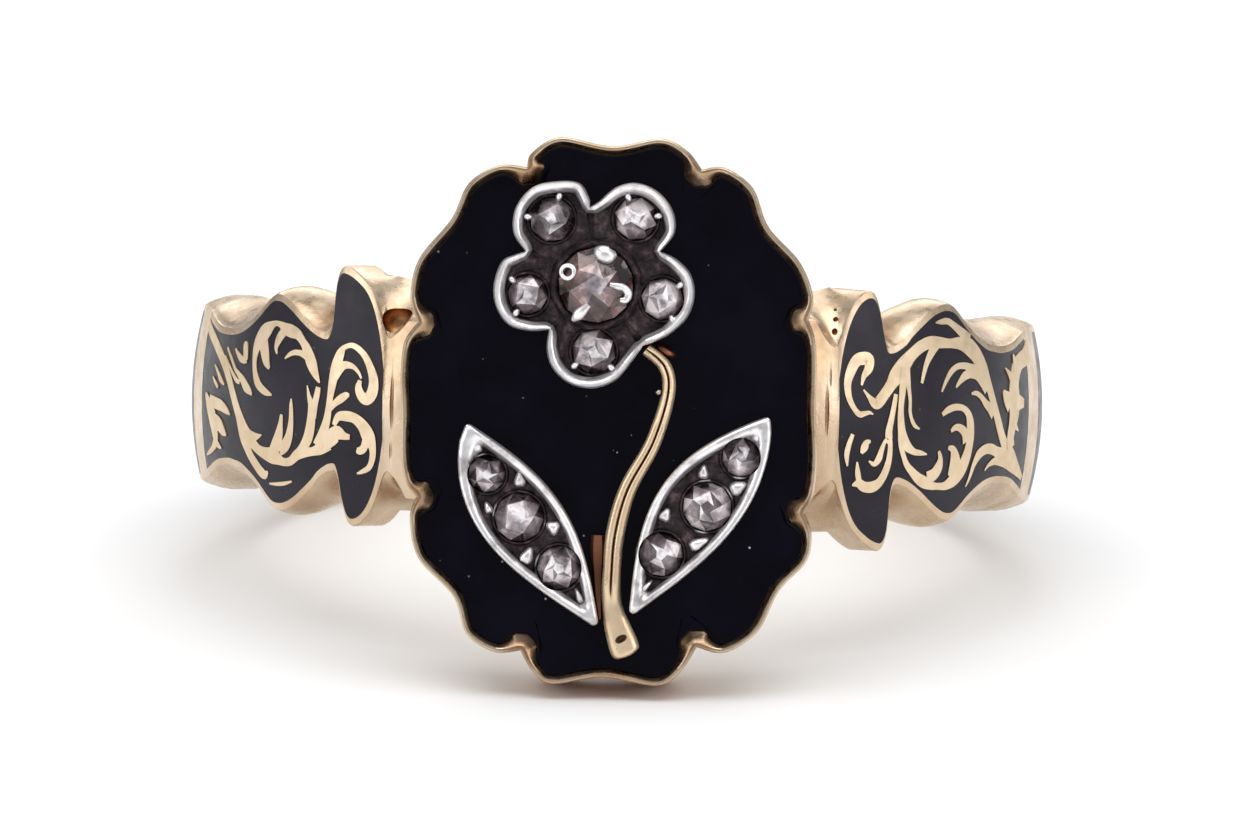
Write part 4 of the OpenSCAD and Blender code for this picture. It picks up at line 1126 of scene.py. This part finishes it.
# Share of the radius where the brown warmth starts, and over which it grows
WARM_FROM = (0.2, 0.4)


def make_stone(name, node, centre, d, seat, seed, sides=12, middle=0.2, light=0.0, warm=0.3):
    """A rose cut stone: a girdle, two rows of triangles and a small table, a little irregular.

    Its facets get painted reflections, lighter in the middle of the stone, and a brown warmth towards its
    edge.
    """
    rng = random.Random(seed)
    rise = d * STONE_RISE
    r = d / 2 - STONE_PLAY
    turn = rng.uniform(0, math.pi)
    mid_n = sides // 2

    def ring(n, share, height, jitter):
        out = []
        for i in range(n):
            a = turn + 2 * math.pi * i / n + rng.uniform(-jitter, jitter) * WAVER_ROUND
            q = r * share * (1 + rng.uniform(-jitter, jitter))
            h = seat + rise * (height + rng.uniform(-jitter, jitter) * WAVER_HEIGHT)
            out.append((centre[0] + q * math.cos(a), centre[1] + q * math.sin(a), h))
        return out

    points = [p for part, *row in STONE_RINGS for p in ring(sides // part, *row)]
    start = [0, sides, 2 * sides, 2 * sides + mid_n]
    faces = [tuple(reversed(range(sides)))]
    for i in range(sides):
        k = (i + 1) % sides
        faces.append((i, k, start[1] + k, start[1] + i))
    for j in range(mid_n):
        a, b, c = start[1] + 2 * j, start[1] + (2 * j + 1) % sides, start[1] + (2 * j + 2) % sides
        p, q = start[2] + j, start[2] + (j + 1) % mid_n
        faces += [(a, b, p), (b, c, q), (b, q, p)]
        u, v = start[3] + j, start[3] + (j + 1) % mid_n
        faces += [(p, q, u), (q, v, u)]
    faces.append(tuple(range(start[3], start[3] + mid_n)))
    stone = new_object(name, on_face(points), faces)
    back = RING.inverted()
    facets = [back @ polygon.center for polygon in stone.data.polygons]
    out = np.array([math.hypot(f[0] - centre[0], f[2] - centre[1]) for f in facets]) / r
    # Painted reflections: a random lightness for each facet, more towards the middle of the stone
    painted_reflections = [rng.random() * (1 - middle) + middle * (1 - q) + light for q in out]
    add_attribute(stone, "facet_reflection", "FACE", painted_reflections)
    add_attribute(stone, "facet_warm", "FACE", warm * smooth((out - WARM_FROM[0]) / WARM_FROM[1]))
    finish_shading(stone)
    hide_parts(node)
    return stone


def make_stones():
    stones = [make_stone(
        "centre_rose_cut", "flower_centre_stone", FLOWER_AT, CENTRE_STONE_D, COLLAR_Z - 0.28, 3,
        sides=14, middle=0.55, light=0.02, warm=1.0,
    )]
    seat = SEAT_Z + FIT_GAP
    for k in range(len(PETALS)):
        stones.append(make_stone(
            f"petal_rose_cut_{k + 1}", f"petal_stone_{k + 1}", petal_at(k), petal_stone_r(k) * 2, seat,
            20 + k, sides=8, light=0.22,
        ))
    for k, side in enumerate(("left", "right")):
        for i, (centre, r) in enumerate(leaf_stones(k)):
            stones.append(make_stone(
                f"leaf_{side}_rose_cut_{i + 1}", f"leaf_{side}_stone_{i + 1}", centre, r * 2, seat,
                40 + 5 * k + i, sides=10, light=0.18,
            ))
    return stones


# Section of the stem: place across as a share of the half width, height as a share of the stem's
STEM_PROFILE = [
    (-1, 0), (-1, 0.45), (-0.92, 0.76), (-0.74, 0.94), (-0.45, 1.0), (-0.20, 0.97), (-0.08, 0.88),
    (0, 0.78), (0.08, 0.88), (0.20, 0.97), (0.45, 1.0), (0.74, 0.94), (0.92, 0.76), (1, 0.45), (1, 0),
]
STEM_FINE = 10
# Sections between which the groove fades out into the foot
GROOVE_END = (64, 70)
DIMPLE_AT = (0.37, -5.19)
# Sections over which the stem's top closes up, how far it does, and sections over which its end rounds off
STEM_START = 6
START_FILL = 0.6
STEM_END = 7
# Height of the closed top, how much thinner the foot is, and height of the end with what its rounding adds
PLAIN_TOP = 0.97
FOOT_THINNER = 0.25
END_HEIGHTS = (0.55, 0.45)


def stem_top(q, h, fill):
    """Height of the stem's section at a place across it, filled up to a plain rounded top by a share."""
    if h <= 0 or abs(q) >= 1:
        return h
    return h + (PLAIN_TOP * (1 - abs(q) ** 6) ** 0.5 - h) * fill


def make_stem():
    """The gold stem: two ridges along a groove, and a flat foot with a dimple."""
    notch = np.array(FLOWER_LOBES[STEM_PETAL][0]) * FLOWER_REACH
    start = FLOWER_AT + notch * (1 + STEM_CLEAR / np.linalg.norm(notch))
    line = curve([start] + [np.array(p) * SPRAY_H for p in STEM_PATH], STEM_FINE)
    widths = curve([(w, 0) for w in STEM_WIDTHS], STEM_FINE)[:, 0] * STEM_W
    rings = []
    for i, (p, side, w) in enumerate(zip(line, sideways(line), widths)):
        foot = float(smooth((i - GROOVE_END[0]) / (GROOVE_END[1] - GROOVE_END[0])))
        fill = max(foot, START_FILL * float(smooth((STEM_START - i) / STEM_START)))
        past = max((i - len(line) + 1 + STEM_END) / (STEM_END + 0.5), 0)
        end = math.sqrt(max(1 - past ** 2, 0.02))
        high = STEM_T * (1 - FOOT_THINNER * foot) * (END_HEIGHTS[0] + END_HEIGHTS[1] * end)
        rings.append([(*(p + side * w / 2 * q * end), high * stem_top(q, h, fill)) for q, h in STEM_PROFILE])
    stem = new_object("stem_gold", *face_skin(rings))
    combine(stem, [grain(DIMPLE_AT, 0.15, 0.09, 30, STEM_T * 0.78, 0.24)], "DIFFERENCE")
    finish_shading(stem, 50)
    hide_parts("stem")
    return stem


# Bits of metal beside the stem: a patch of redder gold under the flower, made dark as painted shade, and a
# drop of solder.
# Place, half sizes, turn, height, rise
STEM_PATCH = ((1.24, 1.42), 0.30, 0.13, -28, 0.10, 0.30)
SOLDER_DROP = ((1.13, 0.47), 0.085, 0.075, 10, 0.36, 0.13)
# The flat strip of redder gold beside the stem, made dark as painted shade: place, width. Its section: share
# across, height
STRIP = [
    (-0.20, -2.83, 0.30), (-0.20, -3.2, 0.34), (-0.19, -3.7, 0.26), (-0.17, -4.2, 0.18), (-0.12, -4.75, 0.06),
]
STRIP_PROFILE = [(-1, 0.0), (-1, 0.2), (-0.6, 0.26), (0.6, 0.26), (1, 0.2), (1, 0.0)]


def make_bit(name, where):
    return finish_shading(new_object(name, *grain(*where)), 60)


def make_strip():
    p = curve(STRIP, 6)
    return finish_shading(new_object("stem_strip", *swept(p[:, :2], p[:, 2], STRIP_PROFILE)), 40)


# Materials


class Look:
    """A material in the making, with short ways to add nodes. Its vector is the place in millimetres."""

    def __init__(self, name, scale=1.0):
        self.material = bpy.data.materials.new(name)
        self.material.use_nodes = True
        self.nodes, self.links = self.material.node_tree.nodes, self.material.node_tree.links
        place = self.add("TexCoord").outputs["Object"]
        self.vector = self.add("Mapping", {"Vector": place, "Scale": (scale / MM,) * 3}).outputs["Vector"]

    def put(self, socket, value):
        """Links a socket to another, or sets its value."""
        if isinstance(value, bpy.types.NodeSocket):
            self.links.new(value, socket)
        else:
            socket.default_value = (*value, 1) if socket.type == "RGBA" else value

    def add(self, kind, inputs=None, **settings):
        node = self.nodes.new("ShaderNode" + kind)
        for name, value in settings.items():
            setattr(node, name, value)
        for socket, value in (inputs or {}).items():
            self.put(node.inputs[socket], value)
        return node

    def finish(self, inputs):
        """The material, with the sockets of its shader linked or set."""
        for socket, value in inputs.items():
            self.put(self.nodes["Principled BSDF"].inputs[socket], value)
        return self.material

    def noise(self, scale, detail=4.0, roughness=0.55, vector=None):
        inputs = {"Vector": vector or self.vector, "Scale": scale, "Detail": detail, "Roughness": roughness}
        return self.add("TexNoise", inputs).outputs["Fac"]

    def attribute(self, name):
        return self.add("Attribute", attribute_name=name).outputs["Fac"]

    def hollows(self, distance):
        """How open a place is: 1 in the open, towards 0 in a hollow."""
        return self.add("AmbientOcclusion", {"Distance": distance * MM}, samples=8).outputs["AO"]

    def ramp(self, value, *stops):
        """A colour between stops. Stops: place, colour."""
        node = self.add("ValToRGB", {"Fac": value})
        while len(node.color_ramp.elements) < len(stops):
            node.color_ramp.elements.new(0.5)
        for element, (place, colour) in zip(node.color_ramp.elements, stops):
            element.position = place
            element.color = (*colour, 1)
        return node.outputs["Color"]

    def between(self, value, low, high, from_low=0.3, from_high=0.7):
        """A number between two limits that follows another number."""
        limits = {"From Min": from_low, "From Max": from_high, "To Min": low, "To Max": high}
        return self.add("MapRange", {"Value": value, **limits}).outputs["Result"]

    def multiply(self, a, b):
        return self.add("Math", {0: a, 1: b}, operation="MULTIPLY", use_clamp=True).outputs[0]

    def mix(self, factor, a, b, blend="MIX"):
        return self.add("Mix", {0: factor, 6: a, 7: b}, data_type="RGBA", blend_type=blend).outputs[2]

    def bump(self, height, distance, strength, under=None):
        """The normal of a fine relief, on another one if given."""
        inputs = {"Distance": distance * MM, "Strength": strength, "Height": height}
        if under is not None:
            inputs["Normal"] = under
        return self.add("Bump", inputs).outputs["Normal"]


# Brown of the stains, also used as painted shade in the hollows
STAIN_AND_SHADE_COLOUR = (0.33, 0.18, 0.085)


def gold_material(name, bright, deep, patina_and_shade, roughness=0.2, reach=0.9, metal=1.0):
    """Pale worn gold: redder and duller in hollows, as patina and painted shade, with fine scratches and
    casting grain.
    """
    look = Look(name)
    # Patina and painted shade: where ambient occlusion finds a hollow, the colour turns to the hollow colour.
    open_sky = look.ramp(look.hollows(reach), (0.30, (0, 0, 0)), (0.85, (1, 1, 1)))
    colour = look.mix(open_sky, patina_and_shade, look.ramp(look.noise(0.9, 5), (0.34, deep), (0.66, bright)))
    # A noise that breaks up the stains and their painted shade
    worn = look.between(look.noise(1.8, 5), 0.45, 1.0, 0.38, 0.55)
    stretched = {"Vector": look.vector, "Scale": (4.0, 30.0, 6.0), "Rotation": (0.3, 0.2, 0.7)}
    scratches = look.noise(1.5, 3, vector=look.add("Mapping", stretched).outputs["Vector"])
    return look.finish({
        # Stains and painted shade laid over the gold's colour
        "Base Color": look.mix(look.multiply(look.attribute("stain_and_shade"), worn), colour, STAIN_AND_SHADE_COLOUR),
        "Metallic": metal,
        "Roughness": look.between(look.noise(3.2, 6), roughness * 0.75, roughness * 1.6),
        "Normal": look.bump(scratches, 0.006, 0.35, look.bump(look.noise(4.5, 5, 0.6), 0.014, 0.5)),
    })


def silver_material(name):
    """Silver with bright worn rims and dark brown-violet tarnish in its hollows."""
    look = Look(name)
    cloud = look.noise(2.2, 5)
    open_sky = look.between(look.hollows(0.3), 0.3, 1, 0.25, 0.55)
    bright = look.multiply(look.attribute("wear"), open_sky)
    bright = look.multiply(bright, look.between(cloud, 0.6, 1.0, 0.34, 0.48))
    silver = look.ramp(cloud, (0.3, (0.90, 0.85, 0.86)), (0.6, (0.99, 0.97, 0.98)))
    tarnish = look.ramp(
        look.noise(4.2, 6, 0.6),
        (0.36, (0.008, 0.005, 0.007)), (0.54, (0.042, 0.026, 0.030)), (0.72, (0.17, 0.115, 0.115)),
    )
    rough = look.bump(look.noise(5.0, 5), 0.10, 0.9)
    fine = look.bump(look.noise(2.8, 4), 0.05, 0.45)
    return look.finish({
        "Base Color": look.mix(bright, tarnish, silver),
        "Metallic": look.between(bright, 0.5, 0.9, 0, 1),
        "Roughness": look.between(bright, 0.42, 0.34, 0, 1),
        "Normal": look.add("Mix", {0: bright, 4: rough, 5: fine}, data_type="VECTOR").outputs[1],
    })


def enamel_material(name, low, high, roughness, specks, level):
    """Vitreous enamel: near black, with cloudy depth, tiny pale specks of dust and a soft surface ripple."""
    look = Look(name)
    cells = look.add("TexVoronoi", {"Vector": look.vector, "Scale": 2.0}).outputs["Distance"]
    some = look.between(look.noise(1.1, 1), 0, specks, 0.44, 0.62)
    speck = look.multiply(look.between(cells, 1, 0, 0.035, 0.06), some)
    black = look.ramp(look.noise(0.8, 4), (0.3, low), (0.7, high))
    return look.finish({
        "Base Color": look.mix(speck, black, (0.55, 0.55, 0.62)),
        "Roughness": look.between(look.noise(2.2, 5), roughness * 0.8, roughness * 1.3),
        "Specular IOR Level": level,
        "Normal": look.bump(look.noise(0.55, 2), 0.03, 0.25),
    })


def diamond_material(name):
    """Old rose cut diamond over a dark closed back: grey facets with painted reflections, soft bright and dark
    patches inside.
    """
    look = Look(name)
    cloud = look.noise(1.9, 3, 0.6)
    # Painted reflections: each facet's painted lightness and a cloud pick colours from near black to white
    # highlights
    painted_reflection = look.between(look.attribute("facet_reflection"), -0.62, 0.02, 0, 1)
    colour = look.ramp(
        look.add("Math", {0: cloud, 1: 1.5, 2: painted_reflection}, operation="MULTIPLY_ADD").outputs[0],
        (0.20, (0.020, 0.014, 0.018)), (0.42, (0.150, 0.125, 0.135)), (0.62, (0.38, 0.34, 0.37)),
        (0.80, (1.0, 0.98, 1.0)),
    )
    return look.finish({
        "Base Color": look.mix(look.attribute("facet_warm"), colour, (0.55, 0.30, 0.24), "MULTIPLY"),
        "Metallic": 0.1,
        "IOR": 2.0,
        "Specular IOR Level": 0.35,
        "Roughness": look.between(cloud, 0.03, 0.14),
        "Normal": look.bump(look.noise(3.0, 2), 0.03, 0.3),
    })


def floor_material():
    look = Look("pale_floor", 0.02)
    return look.finish({
        "Base Color": look.ramp(look.noise(2.0, 3), (0.3, (0.88,) * 3), (0.7, (0.91,) * 3)),
        "Roughness": 0.9,
        "Specular IOR Level": 0.1,
    })


# Wear of the silver


# Brightness of a rim over the distance in from its outer edge, with a dark line before its inner edge
RIM_WEAR = ((0.0, 0.18, 0.205, 0.225, 0.245, 0.27), (1.0, 1.0, 0.75, 0.25, 0.65, 0.0))
# Height from which a rim is bright, and how far up that takes
RIM_BRIGHT = (0.44, 0.12)
# How far the brightness of a grain fades at its edge and at its foot
GRAIN_FADE = (0.05, 0.08)


def add_wear(piece, outline, bright):
    """How bright the silver is worn at each point: 1 on the rim and the grains, 0 elsewhere."""
    own = own_points(piece)
    place, height = own[:, [0, 2]], -own[:, 1] - FACE_Y - FIT_GAP
    near = np.array([np.linalg.norm(outline - q, axis=1).min() for q in place])
    wear = np.interp(near, *RIM_WEAR) * smooth((height - RIM_BRIGHT[0]) / RIM_BRIGHT[1])
    for centre, reach, least in bright:
        far = np.linalg.norm(place - np.asarray(centre), axis=1)
        fade = smooth((reach - far) / GRAIN_FADE[0]) * smooth((height - least) / GRAIN_FADE[1])
        wear = np.maximum(wear, fade)
    add_attribute(piece, "wear", "POINT", wear)


def flower_bright():
    """Places, reaches and least heights of the flower's bright grains and prongs."""
    out = [(centre, 0.14, HOLLOW_Z + 0.1) for centre, _ in petal_grains()]
    for places, radii in PRONGS:
        out += [(FLOWER_AT + p[:2], r + 0.12, COLLAR_Z - 0.12) for p, r in zip(places, radii)]
    out.append((FLOWER_AT + RING_PRONG[0], RING_PRONG[1] + 0.12, COLLAR_Z - 0.12))
    return out


def leaf_bright(k):
    """The same for a leaf's grains."""
    return [
        (leaf_spot(k, along, across), a * GRAIN_STRETCH[0] + 0.08, HOLLOW_Z + 0.02)
        for along, across, a, _, _ in LEAF_GRAINS[k]
    ]


# Stage


# Lights, in metres and watts. Columns: name, place, size, power
LIGHTS = [
    ("top_box", (0, -0.02, 0.34), (0.40, 0.34), 1.0),
    ("left_box", (-0.34, -0.10, 0.14), (0.26, 0.26), 0.36),
    ("right_box", (0.34, -0.12, 0.14), (0.26, 0.26), 0.36),
    ("back_box", (0.0, 0.40, 0.20), (0.40, 0.2), 0.45),
]
LIGHTS_AIM = (0, 0, 0.005)
WORLD_COLOUR = (0.9, 0.91, 0.93, 1)
WORLD_STRENGTH = 0.45
FLOOR_HALF = 1.5
FLOOR_DROP = 0.00002


def add_area(name, where, size, power):
    data = bpy.data.lights.new(name, "AREA")
    data.shape = "RECTANGLE"
    data.size, data.size_y = size
    data.energy = power
    light = bpy.data.objects.new(name, data)
    bpy.context.scene.collection.objects.link(light)
    light.location = where
    light.rotation_euler = (Vector(LIGHTS_AIM) - Vector(where)).to_track_quat("-Z", "Y").to_euler()


def make_stage():
    """A plain pale floor and a soft box of light."""
    corners = [(-1, -1), (1, -1), (1, 1), (-1, 1)]
    mesh = bpy.data.meshes.new("floor")
    mesh.from_pydata([(FLOOR_HALF * x, FLOOR_HALF * y, 0) for x, y in corners], [], [(0, 1, 2, 3)])
    floor = bpy.data.objects.new("floor", mesh)
    bpy.context.scene.collection.objects.link(floor)
    floor.location.z = -FLOOR_DROP
    mesh.materials.append(floor_material())
    for row in LIGHTS:
        add_area(*row)
    world = bpy.data.worlds.new("soft_world")
    bpy.context.scene.world = world
    world.use_nodes = True
    background = world.node_tree.nodes["Background"]
    background.inputs["Color"].default_value = WORLD_COLOUR
    background.inputs["Strength"].default_value = WORLD_STRENGTH
    bpy.context.scene.view_settings.view_transform = "Standard"


def make_camera():
    """Camera at the photo's angle to the face, placed so that the ring stands where it does there."""
    axis = RING.to_3x3() @ Vector((0, 0, 1))
    tilt = math.degrees(math.atan2(axis.y, axis.z))
    elevation = math.radians(tilt + CAMERA_RISE)
    azimuth = math.radians(CAMERA_AZIMUTH)
    flat = math.cos(elevation)
    back = Vector((math.sin(azimuth) * flat, -math.cos(azimuth) * flat, math.sin(elevation)))
    turn = back.to_track_quat("Z", "Y").to_matrix()
    turn = turn @ Matrix.Rotation(math.radians(CAMERA_ROLL), 3, "Z")
    right, up = turn.col[0], turn.col[1]
    dx = (PHOTO_W / 2 - AXIS_PX[0]) / PX_PER_MM
    dy = (AXIS_PX[1] - PHOTO_H / 2) / PX_PER_MM
    aim = RING.translation + (right * dx + up * dy) * MM
    data = bpy.data.cameras.new("camera")
    data.sensor_width = SENSOR_W
    data.lens = data.sensor_width * PX_PER_MM * CAMERA_DISTANCE / PHOTO_W
    data.clip_start, data.clip_end = CLIP_M
    camera = bpy.data.objects.new("camera", data)
    bpy.context.scene.collection.objects.link(camera)
    camera.matrix_world = Matrix.Translation(aim + back * CAMERA_DISTANCE * MM) @ turn.to_4x4()
    bpy.context.scene.camera = camera


def dress(piece, material):
    piece.data.materials.clear()
    piece.data.materials.append(material)
    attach(piece, "root")


make_camera()
make_stage()

# Gold: bright and deep colours, colour in the hollows (patina and painted shade), roughness, reach of the
# hollows, metal share
gold = gold_material("old_gold", (0.71, 0.57, 0.42), (0.57, 0.42, 0.27), (0.46, 0.21, 0.08), 0.26)
scroll_gold = gold_material("scroll_gold", (0.80, 0.65, 0.46), (0.70, 0.55, 0.37), (0.40, 0.24, 0.12), 0.40)
# The stem's gold is a paler, less metallic copy of the gold, painted light so that the stem looks lit; its
# dark colour over a short reach paints shade into the groove
stem_gold = gold_material(
    "stem_gold", (0.92, 0.72, 0.50), (0.80, 0.60, 0.38), (0.14, 0.06, 0.03), 0.27, 0.16, 0.65)
# Redder gold, made dark as painted shade for the strip and the patch under the flower
shaded_red_gold = gold_material("shaded_red_gold", (0.44, 0.19, 0.11), (0.24, 0.09, 0.05), (0.05, 0.02, 0.015), 0.35)
silver = silver_material("old_silver")
solder = gold_material("solder", (0.70, 0.66, 0.62), (0.42, 0.38, 0.36), (0.10, 0.07, 0.06), 0.25)
# Enamel: two colours, roughness, brightness of the specks, gloss
face_black = enamel_material(
    "face_enamel", (0.0015, 0.0012, 0.004), (0.004, 0.003, 0.009), 0.12, 1.0, 0.1)
hoop_black = enamel_material(
    "hoop_enamel", (0.010, 0.008, 0.014), (0.020, 0.017, 0.026), 0.30, 0.3, 0.22)
diamond = diamond_material("rose_diamond")

hoop = make_hoop()
add_stains_and_shade(hoop)
dress(hoop, gold)
dress(make_face_enamel(), face_black)
dress(make_shoulder_enamel(-1, "left_shoulder_enamel", "shoulder_enamel_left"), hoop_black)
dress(make_shoulder_enamel(1, "right_shoulder_enamel", "shoulder_enamel_right"), hoop_black)
dress(make_back_enamel(), hoop_black)
dress(make_scrolls(LEFT_SCROLLS, -1, "left_scrolls"), scroll_gold)
dress(make_scrolls(RIGHT_SCROLLS, 1, "right_scrolls"), scroll_gold)
flower = make_flower()
add_wear(flower, flower_edges()[0], flower_bright())
dress(flower, silver)
for k, side in enumerate(("left", "right")):
    leaf = make_leaf(k, f"{side}_leaf_silver", f"leaf_setting_{side}")
    add_wear(leaf, np.array(leaf_edge(k)), leaf_bright(k))
    dress(leaf, silver)
for stone in make_stones():
    dress(stone, diamond)
dress(make_stem(), stem_gold)
dress(make_strip(), shaded_red_gold)
dress(make_bit("stem_patch", STEM_PATCH), shaded_red_gold)
dress(make_bit("solder_drop", SOLDER_DROP), solder)
